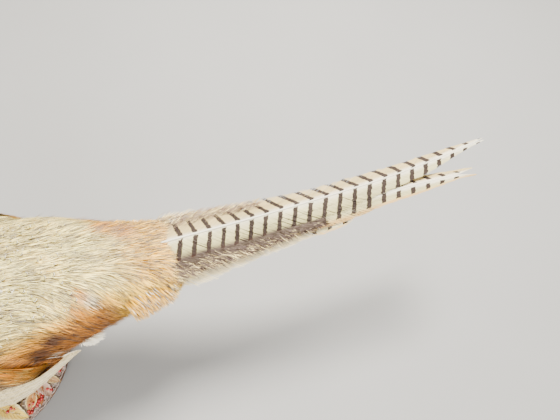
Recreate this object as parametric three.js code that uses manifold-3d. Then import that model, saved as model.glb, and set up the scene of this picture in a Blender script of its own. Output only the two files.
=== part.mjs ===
// A cock common pheasant, mounted standing on a round board with groundwork.
// Millimetres. +X runs from the tail towards the head, +Y is the bird's left, +Z is up.
// The origin is the middle of the board's underside.
import * as THREE from "three";
import { mergeVertices } from "three/addons/utils/BufferGeometryUtils.js";
import Module from "manifold-3d";

const wasm = await Module();
wasm.setup();

// ---- driving dimensions ----
const boardThickness = 18;
const groundThickness = 12;
const boardRadius = 120;
const gap = 0.3; // clearance between pieces that touch
const tailRootX = -316; // where the long tail feathers leave the rump, along the bird
const tailRootZ = 230; // and its height over the table
const bodyLength = 352; // from the tail root to the front of the breast
const tailLength = 425; // the part of the longest tail feather that shows
const footX = -69; // the ball of each foot, under the middle of the trunk
const footY = 37;
const hockHeight = 72; // of the hock joint over the ground
const eyeRadius = 5.2;
const groundZ = boardThickness + groundThickness;

// ---- making and joining closed meshes ----

// distance forward of the tail root, distance to the left, height over the tail root
function at(forward, left, height) {
  return new THREE.Vector3(tailRootX + forward, left, tailRootZ + height);
}

// a smooth curve y(x) through a few outline points
function smooth(points) {
  const slope = points.map((p, i) => {
    const a = points[Math.max(i - 1, 0)];
    const b = points[Math.min(i + 1, points.length - 1)];
    return (b[1] - a[1]) / (b[0] - a[0]);
  });
  return (x) => {
    let i = 0;
    while (i < points.length - 2 && x > points[i + 1][0]) i += 1;
    const [x0, y0] = points[i];
    const [x1, y1] = points[i + 1];
    const span = x1 - x0;
    const t = THREE.MathUtils.clamp((x - x0) / span, 0, 1);
    const rise = (2 * t ** 3 - 3 * t ** 2 + 1) * y0 + (3 * t ** 2 - 2 * t ** 3) * y1;
    const leave = (t ** 3 - 2 * t ** 2 + t) * span * slope[i];
    return rise + leave + (t ** 3 - t ** 2) * span * slope[i + 1];
  };
}

// a closed geometry from points and triangles, turned so that its faces look outwards
function closedGeometry(points, triangles) {
  let volume = 0;
  for (const [a, b, c] of triangles) {
    volume += points[a].dot(new THREE.Vector3().crossVectors(points[b], points[c]));
  }
  const outward = volume < 0 ? triangles.map(([a, b, c]) => [a, c, b]) : triangles;
  const geometry = new THREE.BufferGeometry().setFromPoints(points);
  geometry.setIndex(outward.flat());
  return geometry;
}

// a skin over rings of points, closed by a fan at each end
function loft(rings) {
  const count = rings[0].length;
  const points = rings.flat();
  const triangles = [];
  for (let i = 0; i + 1 < rings.length; i += 1) {
    for (let j = 0; j < count; j += 1) {
      const a = i * count + j;
      const b = i * count + ((j + 1) % count);
      triangles.push([a, b, b + count], [a, b + count, a + count]);
    }
  }
  for (const [first, reverse] of [[0, true], [(rings.length - 1) * count, false]]) {
    const middle = new THREE.Vector3();
    for (let j = 0; j < count; j += 1) middle.addScaledVector(points[first + j], 1 / count);
    points.push(middle);
    for (let j = 0; j < count; j += 1) {
      const edge = [first + j, first + ((j + 1) % count)];
      if (reverse) edge.reverse();
      triangles.push([edge[0], edge[1], points.length - 1]);
    }
  }
  return closedGeometry(points, triangles);
}

// a thin closed slab between two surfaces over the same grid of (u, v) from 0 to 1
function slab(columns, rows, outer, inner) {
  const points = [];
  for (const surface of [outer, inner]) {
    for (let i = 0; i <= columns; i += 1) {
      for (let j = 0; j <= rows; j += 1) points.push(surface(i / columns, j / rows));
    }
  }
  const under = (columns + 1) * (rows + 1);
  const index = (i, j) => i * (rows + 1) + j;
  const triangles = [];
  const quad = (a, b, c, d) => triangles.push([a, b, c], [a, c, d]);
  for (let i = 0; i < columns; i += 1) {
    for (let j = 0; j < rows; j += 1) {
      const corners = [index(i, j), index(i + 1, j), index(i + 1, j + 1), index(i, j + 1)];
      quad(...corners);
      quad(...corners.map((k) => k + under).reverse());
    }
    const near = [index(i, 0), index(i + 1, 0)];
    const far = [index(i, rows), index(i + 1, rows)];
    quad(near[0], near[0] + under, near[1] + under, near[1]);
    quad(far[1], far[1] + under, far[0] + under, far[0]);
  }
  for (let j = 0; j < rows; j += 1) {
    const start = [index(0, j), index(0, j + 1)];
    const end = [index(columns, j), index(columns, j + 1)];
    quad(start[1], start[1] + under, start[0] + under, start[0]);
    quad(end[0], end[0] + under, end[1] + under, end[1]);
  }
  return closedGeometry(points, triangles);
}

function toSolid(geometry) {
  const bare = geometry.index ? geometry.clone() : geometry;
  bare.deleteAttribute("normal");
  bare.deleteAttribute("uv");
  const merged = mergeVertices(bare, 1e-4);
  const mesh = new wasm.Mesh({
    numProp: 3,
    vertProperties: new Float32Array(merged.attributes.position.array),
    triVerts: new Uint32Array(merged.index.array),
  });
  return new wasm.Manifold(mesh);
}

function toGeometry(solid) {
  const mesh = solid.getMesh();
  const geometry = new THREE.BufferGeometry();
  geometry.setAttribute("position", new THREE.BufferAttribute(mesh.vertProperties, 3));
  geometry.setIndex(new THREE.BufferAttribute(mesh.triVerts, 1));
  return geometry;
}

// the half space on the side of a plane that its normal points to, as a big box
function halfSpace(point, normal) {
  const size = 900;
  const box = new THREE.BoxGeometry(size, size, size);
  box.translate(0, 0, size / 2 + gap / 2);
  const turn = new THREE.Quaternion().setFromUnitVectors(new THREE.Vector3(0, 0, 1), normal);
  box.applyQuaternion(turn);
  box.translate(point.x, point.y, point.z);
  return toSolid(box);
}

// cuts a solid at a plane into the part before it and the part behind it, a gap apart
function part(solid, point, normal) {
  const unit = normal.clone().normalize();
  const ahead = solid.intersect(halfSpace(point, unit));
  const behind = solid.intersect(halfSpace(point, unit.clone().negate()));
  return [ahead, behind];
}

// the largest piece of a solid that a cut has left in several
function largest(solid) {
  return solid.decompose().reduce((best, one) => (one.volume() > best.volume() ? one : best));
}

function mirrored(geometry) {
  const other = geometry.clone();
  other.scale(1, -1, 1);
  const index = other.index.array;
  for (let i = 0; i < index.length; i += 3) {
    [index[i], index[i + 1]] = [index[i + 1], index[i]];
  }
  return other;
}

// ---- materials ----
function finish(name, color, roughness, metalness = 0) {
  const material = new THREE.MeshStandardMaterial({ color, roughness, metalness });
  material.name = name;
  return material;
}
const rumpPlumage = finish("pale_plumage", 0xcfc3a0, 0.85);
const bodyPlumage = finish("body_plumage", 0xa8672f, 0.75);
const neckPlumage = finish("neck_plumage", 0x1d3b3a, 0.45);
const wingPlumage = finish("wing_plumage", 0xb5a489, 0.8);
const tailPlumage = finish("tail_plumage", 0xcdbf99, 0.8);
const hornGrey = finish("leg_horn", 0x8d8472, 0.55);
const billHorn = finish("bill_horn", 0xb7ab8a, 0.4);
const faceRed = finish("face_skin", 0xa3251d, 0.6);
const eyeGlass = finish("eye_glass", 0x6b3d12, 0.08);
const boardWood = finish("board_wood", 0x6d3f22, 0.5);
const groundwork = finish("groundwork", 0x9c7a52, 0.9);

const pheasant = new THREE.Group();
function add(name, geometry, material) {
  const mesh = new THREE.Mesh(geometry, material);
  mesh.name = name;
  pheasant.add(mesh);
}
function addPair(name, leftGeometry, material) {
  add(`${name}_left`, leftGeometry, material);
  add(`${name}_right`, mirrored(leftGeometry), material);
}

// ---- board: a hand-cut round, a little wider than it is long, its corners eased ----
function boardEdge(angle) {
  const widening = -0.012 * Math.cos(2 * angle);
  const handCut = 0.005 * Math.sin(3 * angle + 0.8);
  return boardRadius * (1 + widening + handCut);
}
function boardRing(inset, z, sides = 30) {
  const ring = [];
  for (let i = 0; i < sides; i += 1) {
    const angle = (2 * Math.PI * i) / sides;
    const r = boardEdge(angle) - inset;
    ring.push(new THREE.Vector3(r * Math.cos(angle), r * Math.sin(angle), z));
  }
  return ring;
}
const easing = 2.5;
const boardRings = [
  boardRing(easing, 0),
  boardRing(0, easing),
  boardRing(0, boardThickness - easing),
  boardRing(easing, boardThickness),
];
add("base_board", loft(boardRings), boardWood);

// ---- groundwork: a low mound of paper pulp that laps over the board, flat where the feet stand ----
// how far inside the board's edge each ring lies, and its height over the board
const groundLevels = [[-2, 0], [-5.5, 3], [-5, 6], [2, 9.5], [18, 11.4], [26, groundThickness - gap]];
const groundRings = groundLevels.map(
  ([inset, height]) => boardRing(inset, boardThickness + gap + height),
);
add("groundwork", loft(groundRings), groundwork);

// ---- trunk: outline of the plumage from the tail root forward ----
// each pair is a distance forward of the tail root and a height or half width there
const back = smooth([
  [-4, 1], [37, 13], [94, 29], [150, 46], [210, 61],
  [270, 71], [300, 70], [330, 54], [345, 32], [bodyLength, 4],
]);
const belly = smooth([
  [-4, -44], [37, -57], [94, -74], [150, -89], [210, -95],
  [270, -89], [305, -75], [330, -55], [345, -32], [bodyLength, -4],
]);
const flank = smooth([
  [-4, 46], [20, 52], [44, 57], [94, 71], [120, 80], [150, 86],
  [210, 91], [270, 84], [305, 68], [330, 48], [345, 29], [bodyLength, 5],
]);
// the rump's soft plumage lies over to the left, where the tail swings to
const lean = smooth([[-4, 6], [44, 6], [94, 2], [120, 0], [130, 0], [bodyLength, 0]]);
const trunkStations = [
  -4, 15, 37, 60, 94, 120, 150, 180, 210, 240, 270, 292, 312, 328, 340, 348, bodyLength,
];
const trunkSides = 20;
const sectionPower = 2.25; // a little squarer than an ellipse

// a point on the trunk's section, at an angle up from the left side, some way off its surface
function trunkPoint(forward, angle, off = 0) {
  const middle = (back(forward) + belly(forward)) / 2;
  const halfHeight = (back(forward) - belly(forward)) / 2 + off;
  const halfWidth = flank(forward) + off;
  const round = (value) => Math.sign(value) * Math.abs(value) ** (2 / sectionPower);
  const left = lean(forward) + halfWidth * round(Math.cos(angle));
  return at(forward, left, middle + halfHeight * round(Math.sin(angle)));
}
function trunkSolid(off) {
  const rings = trunkStations.map((forward, k) => {
    const end = k === trunkStations.length - 1 ? off : 0;
    const ring = [];
    for (let i = 0; i < trunkSides; i += 1) {
      const point = trunkPoint(forward, (2 * Math.PI * i) / trunkSides, off);
      ring.push(point.setX(point.x + end));
    }
    return ring;
  });
  return toSolid(loft(rings));
}

// ---- neck: rings square to a gently bent line from the shoulders to the nape ----
const neckPoints = [[256, -8], [286, 38], [307, 84], [320, 126], [329, 164], [337, 204]];
const neckLine = new THREE.CatmullRomCurve3(neckPoints.map(([forward, height]) => at(forward, 0, height)));
const neckDeep = smooth([[0, 62], [0.2, 60], [0.42, 43], [0.6, 32], [0.8, 25.5], [1, 19]]);
const neckWide = smooth([[0, 66], [0.2, 60], [0.42, 43], [0.6, 31], [0.8, 24], [1, 15]]);
const neckSides = 18;
const neckStations = [0, 0.14, 0.28, 0.42, 0.56, 0.7, 0.85, 1];
function neckRing(t, off) {
  const middle = neckLine.getPointAt(t);
  const along = neckLine.getTangentAt(t);
  const sideways = new THREE.Vector3(0, 1, 0);
  const forward = new THREE.Vector3().crossVectors(sideways, along).normalize();
  const ring = [];
  for (let i = 0; i < neckSides; i += 1) {
    const angle = (2 * Math.PI * i) / neckSides;
    const point = middle.clone().addScaledVector(forward, (neckDeep(t) + off) * Math.cos(angle));
    ring.push(point.addScaledVector(sideways, (neckWide(t) + off) * Math.sin(angle)));
  }
  return ring;
}
function neckSolid(off) {
  return toSolid(loft(neckStations.map((t) => neckRing(t, off))));
}

// ---- head: crown, chin and cheek lines from the nape to the bill ----
const headBack = 312;
const headFront = 370;
const crown = smooth([
  [headBack, 212], [317, 226], [326, 235], [338, 240],
  [350, 238.5], [360, 232], [366, 226], [headFront, 221],
]);
const chin = smooth([
  [headBack, 206], [317, 192], [326, 184], [338, 181],
  [350, 184], [360, 191], [366, 197], [headFront, 203],
]);
const cheek = smooth([
  [headBack, 3], [317, 11], [326, 16], [338, 18.5],
  [350, 16.5], [360, 11], [366, 8], [headFront, 4],
]);
const headStations = [headBack, 317, 322, 328, 335, 343, 350, 356, 361, 366, headFront];
const headSides = 14;
function headPoint(forward, angle, off = 0) {
  const middle = (crown(forward) + chin(forward)) / 2;
  const halfHeight = (crown(forward) - chin(forward)) / 2 + off;
  return at(forward, (cheek(forward) + off) * Math.cos(angle), middle + halfHeight * Math.sin(angle));
}
function headSolid(off) {
  const rings = headStations.map((forward) => {
    const ring = [];
    for (let i = 0; i < headSides; i += 1) {
      ring.push(headPoint(forward, (2 * Math.PI * i) / headSides, off));
    }
    return ring;
  });
  return toSolid(loft(rings));
}

// ---- bill: a strong, down-curved upper half over a straighter lower half ----
const billBase = 363;
const billTip = 394;
const lowerTip = 389; // the lower half ends behind the hooked tip
const billSteps = 6;
const billSides = 10;
function billHalf(topLine, bottomLine, widthLine, tip) {
  const rings = [];
  for (let k = 0; k <= billSteps; k += 1) {
    const t = k / billSteps;
    const forward = THREE.MathUtils.lerp(billBase, tip, t);
    const high = topLine(t);
    const low = bottomLine(t);
    const ring = [];
    for (let i = 0; i < billSides; i += 1) {
      const angle = (2 * Math.PI * i) / billSides;
      const height = (high + low) / 2 + ((high - low) / 2) * Math.sin(angle);
      ring.push(at(forward, widthLine(t) * Math.cos(angle), height));
    }
    rings.push(ring);
  }
  return loft(rings);
}
const biteLine = smooth([[0, 212.4], [0.5, 211], [0.8, 208.4], [1, 204.5]]);
const upperBill = billHalf(
  smooth([[0, 226], [0.4, 223.5], [0.75, 217], [1, 206.5]]),
  biteLine,
  smooth([[0, 7.2], [0.5, 5.8], [0.85, 3.2], [1, 0.9]]),
  billTip,
);
const lowerReach = (lowerTip - billBase) / (billTip - billBase);
const lowerBill = billHalf(
  (t) => biteLine(t * lowerReach) - gap - 0.3,
  smooth([[0, 202.5], [0.5, 203], [0.85, 204.4], [1, 205.4]]),
  smooth([[0, 6.4], [0.5, 4.9], [0.85, 2.8], [1, 0.8]]),
  lowerTip,
);

// ---- eyes: glass domes set in the sides of the head ----
const eyeForward = 347;
const eyeHeight = 220;
const eyeSink = 3.4; // how far its middle lies inside the cheek
const headMiddle = (crown(eyeForward) + chin(eyeForward)) / 2;
const headHalf = (crown(eyeForward) - chin(eyeForward)) / 2;
const eyeLeft = cheek(eyeForward) * Math.sqrt(1 - ((eyeHeight - headMiddle) / headHalf) ** 2) - eyeSink;
function eyeBall(side, off) {
  const ball = new THREE.SphereGeometry(eyeRadius + off, 12, 8);
  const place = at(eyeForward, side * eyeLeft, eyeHeight);
  ball.translate(place.x, place.y, place.z);
  return ball;
}

// ---- wattles: the bare lobed skin round each eye and over the cheek ----
const wattleThickness = 1.5;
function wattleOutline() {
  const outline = new THREE.Shape();
  outline.moveTo(362, 216);
  outline.bezierCurveTo(360, 226, 352, 232, 343, 231);
  outline.bezierCurveTo(334, 230, 328, 222, 332, 213);
  outline.bezierCurveTo(330, 204, 334, 192, 343, 190);
  outline.bezierCurveTo(350, 189, 353, 198, 358, 203);
  outline.bezierCurveTo(361, 207, 362, 211, 362, 216);
  return outline;
}
function wattleSolid() {
  const depth = 40;
  const settings = { depth, bevelEnabled: false, curveSegments: 3 };
  const stamp = new THREE.ExtrudeGeometry(wattleOutline(), settings);
  stamp.rotateX(Math.PI / 2); // the outline's height turns to +Z and its depth to -Y
  stamp.translate(tailRootX, depth + 3, tailRootZ);
  const rooms = [
    headSolid(gap),
    neckSolid(gap),
    toSolid(eyeBall(1, gap)),
    toSolid(upperBillRoom),
    toSolid(lowerBillRoom),
  ];
  const shell = toSolid(stamp).intersect(headSolid(wattleThickness));
  return rooms.reduce((left, room) => left.subtract(room), shell);
}

// room that the bill takes out of the head and the wattles
function roomRound(geometry, off) {
  const room = geometry.clone();
  room.computeBoundingBox();
  const middle = room.boundingBox.getCenter(new THREE.Vector3());
  const size = room.boundingBox.getSize(new THREE.Vector3());
  room.translate(-middle.x, -middle.y, -middle.z);
  room.scale(1 + (2 * off) / size.x, 1 + (2 * off) / size.y, 1 + (2 * off) / size.z);
  room.translate(middle.x, middle.y, middle.z);
  return room;
}
const billClear = 0.9;
const upperBillRoom = roomRound(upperBill, billClear);
const lowerBillRoom = roomRound(lowerBill, billClear);

// ---- trunk, neck and head modelled whole, then parted with thin cuts ----
const forwardAxis = new THREE.Vector3(1, 0, 0);
const whole = trunkSolid(0).add(neckSolid(0)).add(headSolid(0));
const [front, rump] = part(whole, at(94, 0, 0), forwardAxis);
const [raised, trunk] = part(front, at(300, 0, 60), new THREE.Vector3(0.35, 0, 0.94));
const [upright, neckLower] = part(raised, at(318, 0, 124), new THREE.Vector3(0.2, 0, 0.98));
const [headWhole, neckUpper] = part(upright, at(332, 0, 180), new THREE.Vector3(0.1, 0, 0.99));
let head = headWhole.subtract(toSolid(upperBillRoom)).subtract(toSolid(lowerBillRoom));
for (const side of [1, -1]) head = head.subtract(toSolid(eyeBall(side, gap)));
add("rump", toGeometry(rump), rumpPlumage);
add("trunk", toGeometry(trunk), bodyPlumage);
add("neck_lower", toGeometry(neckLower), neckPlumage);
add("neck_upper", toGeometry(neckUpper), neckPlumage);
add("head", toGeometry(head), neckPlumage);
add("bill_upper", upperBill, billHorn);
add("bill_lower", lowerBill, billHorn);
add("eye_left", eyeBall(1, 0), eyeGlass);
add("eye_right", eyeBall(-1, 0), eyeGlass);
addPair("wattle", toGeometry(wattleSolid()), faceRed);

// ---- wings: each folded against the side, wrist forward, coverts over the closed flight feathers ----
const wristForward = 322;
const wingRear = 140;
const wingColumns = 11;
const wingRows = 6;
const wingTop = smooth([[0, 0.1], [0.12, 0.72], [0.35, 0.98], [0.65, 0.72], [0.88, 0.12], [1, -0.3]]);
const wingBottom = smooth([[0, -0.25], [0.12, -0.52], [0.35, -0.64], [0.7, -0.62], [1, -0.5]]);
const wingBulge = smooth([[0, 3], [0.15, 11], [0.45, 15], [0.8, 9], [1, 3]]);
const wingClear = 0.6; // between the wing's inside and the trunk's facets
function wingPlace(u, v, off) {
  const forward = THREE.MathUtils.lerp(wristForward, wingRear, u);
  const angle = THREE.MathUtils.lerp(wingTop(u), wingBottom(u), v);
  return trunkPoint(forward, angle, off);
}
function wingShell(outside, inside) {
  const crowned = (v) => Math.sin(Math.PI * (0.08 + 0.84 * v)) ** 0.6;
  const outer = (u, v) => wingPlace(u, v, outside + wingBulge(u) * crowned(v));
  return toSolid(slab(wingColumns, wingRows, outer, (u, v) => wingPlace(u, v, inside)));
}
const bodyRoom = trunkSolid(wingClear).add(neckSolid(wingClear));
const wing = wingShell(wingClear + 1, -3).subtract(bodyRoom);
addPair("wing", toGeometry(wing), wingPlumage);

// ---- primaries: the closed fan of longest wing feathers, hanging a little below the flank ----
const primaryThickness = 3.5;
const primaryTips = 5;
const primaryFront = 290;
const primaryRear = 138; // where the lowest feather's tip ends
const primaryStep = 30; // how far the highest feather ends before the lowest
const primaryLines = {
  upperLeft: smooth([[0, 74], [0.3, 92], [0.65, 95], [1, 79]]),
  lowerLeft: smooth([[0, 73], [0.25, 97], [0.5, 106], [0.8, 95], [1, 81]]),
  upperHeight: smooth([[0, -42], [0.4, -48], [1, -60]]),
  lowerHeight: smooth([[0, -50], [0.25, -72], [0.6, -82], [1, -80]]),
};
function primaryPlace(u, v, off) {
  const notch = 3 * Math.abs(Math.sin(Math.PI * primaryTips * v));
  const rear = primaryRear + primaryStep * (1 - v) ** 2 + notch;
  const forward = THREE.MathUtils.lerp(primaryFront, rear, u);
  const left = THREE.MathUtils.lerp(primaryLines.upperLeft(u), primaryLines.lowerLeft(u), v);
  const height = THREE.MathUtils.lerp(primaryLines.upperHeight(u), primaryLines.lowerHeight(u), v);
  return at(forward, left - off, height);
}
const primaryOuter = (u, v) => primaryPlace(u, v, 0);
const primaryInner = (u, v) => primaryPlace(u, v, primaryThickness);
const primaryFan = slab(7, primaryTips, primaryOuter, primaryInner);
const wingRoom = wingShell(wingClear + 1.4, -6).add(toSolid(roomRound(toGeometry(wing), 1)));
const primaries = largest(toSolid(primaryFan).subtract(wingRoom).subtract(bodyRoom));
addPair("primaries", toGeometry(primaries), wingPlumage);

// ---- thighs: feathered drumsticks from the belly down to the hocks ----
const hockForward = 232;
const hockTop = groundZ + hockHeight + 4 - tailRootZ; // the bare joint's top
const thighSides = 14;
function ovalRing(forward, left, height, deep, wide, sides) {
  const ring = [];
  for (let i = 0; i < sides; i += 1) {
    const angle = (2 * Math.PI * i) / sides;
    ring.push(at(forward + deep * Math.cos(angle), left + wide * Math.sin(angle), height));
  }
  return ring;
}
// forward, left, height over the tail root, half depth, half width
const thighRings = [
  [221, 45, -62, 34, 18],
  [225, 43, -84, 30, 19],
  [229, 41, -102, 21, 15.5],
  [231, 39, -115, 13, 11],
  [hockForward, 38, hockTop, 8, 7.5],
].map((ring) => ovalRing(...ring, thighSides));
const thigh = toSolid(loft(thighRings)).subtract(trunkSolid(gap + 0.2)).subtract(wingRoom);
addPair("thigh", toGeometry(thigh), bodyPlumage);

// ---- feet: three toes forward and one short one behind, each with its claw ----
const footForward = footX - tailRootX;
const footFloor = groundZ + gap - tailRootZ;
const toeSteps = 4;
const clawSteps = 2;
const toeSides = 6;
const clawPoint = 0.35; // radius of a claw's tip
function toe({ turn, length, thick, claw, lift }) {
  const rings = [];
  for (let k = 0; k <= toeSteps + clawSteps; k += 1) {
    const t = Math.min(k / toeSteps, 1);
    const beyond = Math.max(k - toeSteps, 0) / clawSteps; // 0 along the toe, then up to 1 along its claw
    const pads = 1 + 0.12 * Math.cos(2 * 2 * Math.PI * t);
    const toeRadius = thick * (1 - 0.35 * t) * pads;
    const clawShare = (1 - 0.55 * Math.min(beyond * 3, 1)) * (1 - 0.85 * beyond);
    const radius = Math.max(toeRadius * clawShare, clawPoint);
    const reach = length * t + claw * beyond;
    const arch = claw * 0.25 * Math.sin(Math.PI * beyond) - thick * 0.62 * beyond;
    const high = footFloor + thick + lift * (1 - t) + arch;
    const ring = [];
    for (let i = 0; i < toeSides; i += 1) {
      const angle = (2 * Math.PI * i) / toeSides;
      const across = radius * Math.cos(angle);
      const height = Math.max(high + radius * Math.sin(angle), footFloor);
      const forward = footForward + reach * Math.cos(turn) - across * Math.sin(turn);
      ring.push(at(forward, footY + reach * Math.sin(turn) + across * Math.cos(turn), height));
    }
    rings.push(ring);
  }
  return toSolid(loft(rings));
}
const ballRadius = 6.8;
const ballHeight = 8; // of its middle over the ground
const ball = new THREE.SphereGeometry(ballRadius, 10, 6);
ball.translate(footX, footY, groundZ + ballHeight);
const toes = [
  { turn: 0.04, length: 50, thick: 4.6, claw: 12, lift: 2 },
  { turn: 0.52, length: 38, thick: 4.2, claw: 10, lift: 2 },
  { turn: -0.5, length: 36, thick: 4.2, claw: 10, lift: 2 },
  { turn: Math.PI - 0.25, length: 16, thick: 3.4, claw: 7, lift: 5 },
];
const foot = toes.reduce((joined, one) => joined.add(toe(one)), toSolid(ball));
addPair("foot", toGeometry(foot), hornGrey);

// ---- shanks: the bare scaled legs, with the cock's spur on the inner side behind ----
const shankSides = 10;
const shankRings = [
  [hockForward, 38, hockTop - gap, 7.2, 6.2],
  [hockForward + 0.5, 37.8, hockTop - 5, 7.6, 6.6],
  [hockForward + 3, 37.5, hockTop - 14, 5.8, 4.9],
  [hockForward + 8, 37.2, hockTop - 38, 4.7, 4],
  [footForward - 2, footY, footFloor + 12, 5.2, 4.6],
  [footForward, footY, footFloor + 7, 5.4, 5],
].map((ring) => ovalRing(...ring, shankSides));
const spurLength = 17;
const spurRise = 0.25; // radians over level
const spurInward = 0.35; // radians towards the other leg
const spur = new THREE.ConeGeometry(3.1, spurLength, 8);
spur.rotateZ(Math.PI / 2 - spurRise);
spur.rotateX(spurInward);
spur.translate(tailRootX + hockForward + 1, 34.5, tailRootZ + hockTop - 43);
const footRoom = toSolid(roomRound(toGeometry(foot), gap));
const shank = toSolid(loft(shankRings)).add(toSolid(spur)).subtract(footRoom);
addPair("shank", toGeometry(shank), hornGrey);

// ---- tail: roof-shaped feathers nested under each other, the two longest on top ----
const tailStart = 5; // how far behind the tail root the feathers' solids begin
const tailRise = 0.0834; // climb of the tail for each millimetre of its length
const roofSlope = 0.3; // fall of each vane away from its shaft
const vaneThickness = 0.8;
const shaftThickness = 2;
const nesting = 1.5; // room under a feather for the next one
const pairs = 6;

// a rounded, slowly narrowing vane: full to its waist, then drawn in to the tip
const tapered = (full, tip) => (d) => full * Math.sqrt(Math.max(1 - (d / tip) ** 3, 0));
// shaft: the quill's line; left and right: widths of the vanes, all by distance behind the tail root
const longest = {
  name: "tail_feather_1_right",
  tip: tailLength,
  shaft: smooth([[0, 0], [120, 6.5], [240, 10], [320, 9], [tailLength, 0]]),
  left: smooth([
    [0, 29], [110, 27], [180, 22], [240, 19], [300, 15], [345, 12], [375, 7], [tailLength, 0.8],
  ]),
  right: smooth([
    [0, 30], [110, 26], [180, 19], [240, 18.5], [320, 14.5], [385, 8.5], [tailLength, 0.8],
  ]),
  level: () => 1,
};
const secondTip = 400;
const second = {
  name: "tail_feather_1_left",
  tip: secondTip,
  shaft: (d) => 6.5 + 0.069 * d,
  left: smooth([
    [0, 33], [90, 31], [180, 24], [230, 20], [287, 14], [331, 11], [370, 6], [secondTip, 0.8],
  ]),
  right: smooth([[0, 24], [180, 19], [287, 14], [350, 11], [380, 7], [secondTip, 0.8]]),
};
const leftTips = [262, 230, 165, 115, 75];
const rightTips = [210, 150, 112, 82, 55];
const middleLine = (d) => 5 + 0.03 * d; // neither side's shorter feathers cross it
const feathers = [longest];
function hangUnder(feather, above) {
  const apart = (d) => roofSlope * Math.abs(feather.shaft(d) - above.shaft(d));
  feather.level = (d) => above.level(d) + apart(d) + nesting;
  feathers.push(feather);
  return feather;
}
let aboveLeft = hangUnder(second, longest);
let aboveRight = second;
for (let k = 2; k <= pairs; k += 1) {
  const leftShaft = (d) => 6.5 + 5 * (k - 1) + (0.085 + 0.013 * (k - 1)) * d;
  const leftTip = leftTips[k - 2];
  aboveLeft = hangUnder(
    {
      name: `tail_feather_${k}_left`,
      tip: leftTip,
      shaft: leftShaft,
      left: tapered(14 + k, leftTip),
      right: (d) => Math.min(tapered(15, leftTip)(d), leftShaft(d) - middleLine(d) - 0.5),
    },
    aboveLeft,
  );
  const rightShaft = () => 4 - 4.5 * (k - 1);
  const rightTip = rightTips[k - 2];
  aboveRight = hangUnder(
    {
      name: `tail_feather_${k}_right`,
      tip: rightTip,
      shaft: rightShaft,
      left: (d) => Math.min(tapered(12, rightTip)(d), middleLine(d) - rightShaft(d) - 0.5),
      right: tapered(12 + k, rightTip),
    },
    aboveRight,
  );
}
const across = [-1, -0.12, 0, 0.12, 1]; // from the right edge over the shaft to the left edge
const acrossSteps = across.length - 1;
function tailPlace(feather, u, v, under) {
  const d = THREE.MathUtils.lerp(tailStart, feather.tip, u);
  const place = across[Math.round(v * acrossSteps)];
  const width = Math.max(place > 0 ? feather.left(d) : feather.right(d), 0.8);
  const fromShaft = place * width;
  const thick = place === 0 ? shaftThickness : vaneThickness;
  const top = tailRise * d - feather.level(d) - roofSlope * Math.abs(fromShaft);
  return at(-d, feather.shaft(d) + fromShaft, under ? top - thick : top);
}
for (const feather of feathers) {
  const steps = feather.tip > 300 ? 13 : 7;
  const top = (u, v) => tailPlace(feather, u, v, false);
  const underside = (u, v) => tailPlace(feather, u, v, true);
  add(feather.name, slab(steps, acrossSteps, top, underside), tailPlumage);
}

// ---- under-tail coverts: the soft wedge that carries the tail feathers from below ----
const covertSides = 14;
const covertLeft = 3; // its middle line, under the tail's own
// distance behind the tail root, heights of top and bottom, half width
const covertRings = [
  [5, -29, -45, 34],
  [28, -27, -42, 31],
  [52, -25, -36, 24],
  [72, -24, -28, 12],
].map(([behind, high, low, wide]) => {
  const ring = [];
  for (let i = 0; i < covertSides; i += 1) {
    const angle = (2 * Math.PI * i) / covertSides;
    const height = (high + low) / 2 + ((high - low) / 2) * Math.sin(angle);
    ring.push(at(-behind, covertLeft + wide * Math.cos(angle), height));
  }
  return ring;
});
add("tail_coverts_under", loft(covertRings), rumpPlumage);

export default pheasant;
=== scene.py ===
import math

import bmesh
import bpy
import numpy as np
from mathutils import Matrix, Vector
from mathutils.bvhtree import BVHTree
from mathutils.kdtree import KDTree


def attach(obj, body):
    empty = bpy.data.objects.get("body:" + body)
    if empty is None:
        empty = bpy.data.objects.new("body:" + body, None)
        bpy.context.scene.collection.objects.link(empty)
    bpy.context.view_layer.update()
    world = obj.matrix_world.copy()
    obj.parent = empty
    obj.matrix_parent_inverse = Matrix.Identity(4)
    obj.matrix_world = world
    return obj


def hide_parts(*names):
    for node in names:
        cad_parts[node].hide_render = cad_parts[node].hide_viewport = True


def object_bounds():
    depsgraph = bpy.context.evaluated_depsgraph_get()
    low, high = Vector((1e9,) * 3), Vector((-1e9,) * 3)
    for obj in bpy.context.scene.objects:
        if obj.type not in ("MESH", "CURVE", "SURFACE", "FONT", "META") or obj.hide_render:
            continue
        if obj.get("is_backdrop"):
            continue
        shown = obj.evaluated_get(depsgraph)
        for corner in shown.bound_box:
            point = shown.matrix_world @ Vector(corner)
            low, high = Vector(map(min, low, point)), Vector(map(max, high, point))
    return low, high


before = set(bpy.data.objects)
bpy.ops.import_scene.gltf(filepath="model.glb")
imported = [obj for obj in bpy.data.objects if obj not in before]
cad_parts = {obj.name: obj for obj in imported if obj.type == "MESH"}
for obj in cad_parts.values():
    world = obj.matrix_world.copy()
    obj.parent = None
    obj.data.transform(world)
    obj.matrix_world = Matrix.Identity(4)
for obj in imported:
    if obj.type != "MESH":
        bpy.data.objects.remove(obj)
cad_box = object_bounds()

# ---- studio ----
# A mounted cock pheasant, seen from over its rump along the tail.
# It stands on a plain pale floor under soft light.
TAIL_ROOT = Vector((-0.316, 0.0, 0.230))  # where the long tail feathers leave the rump

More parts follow.
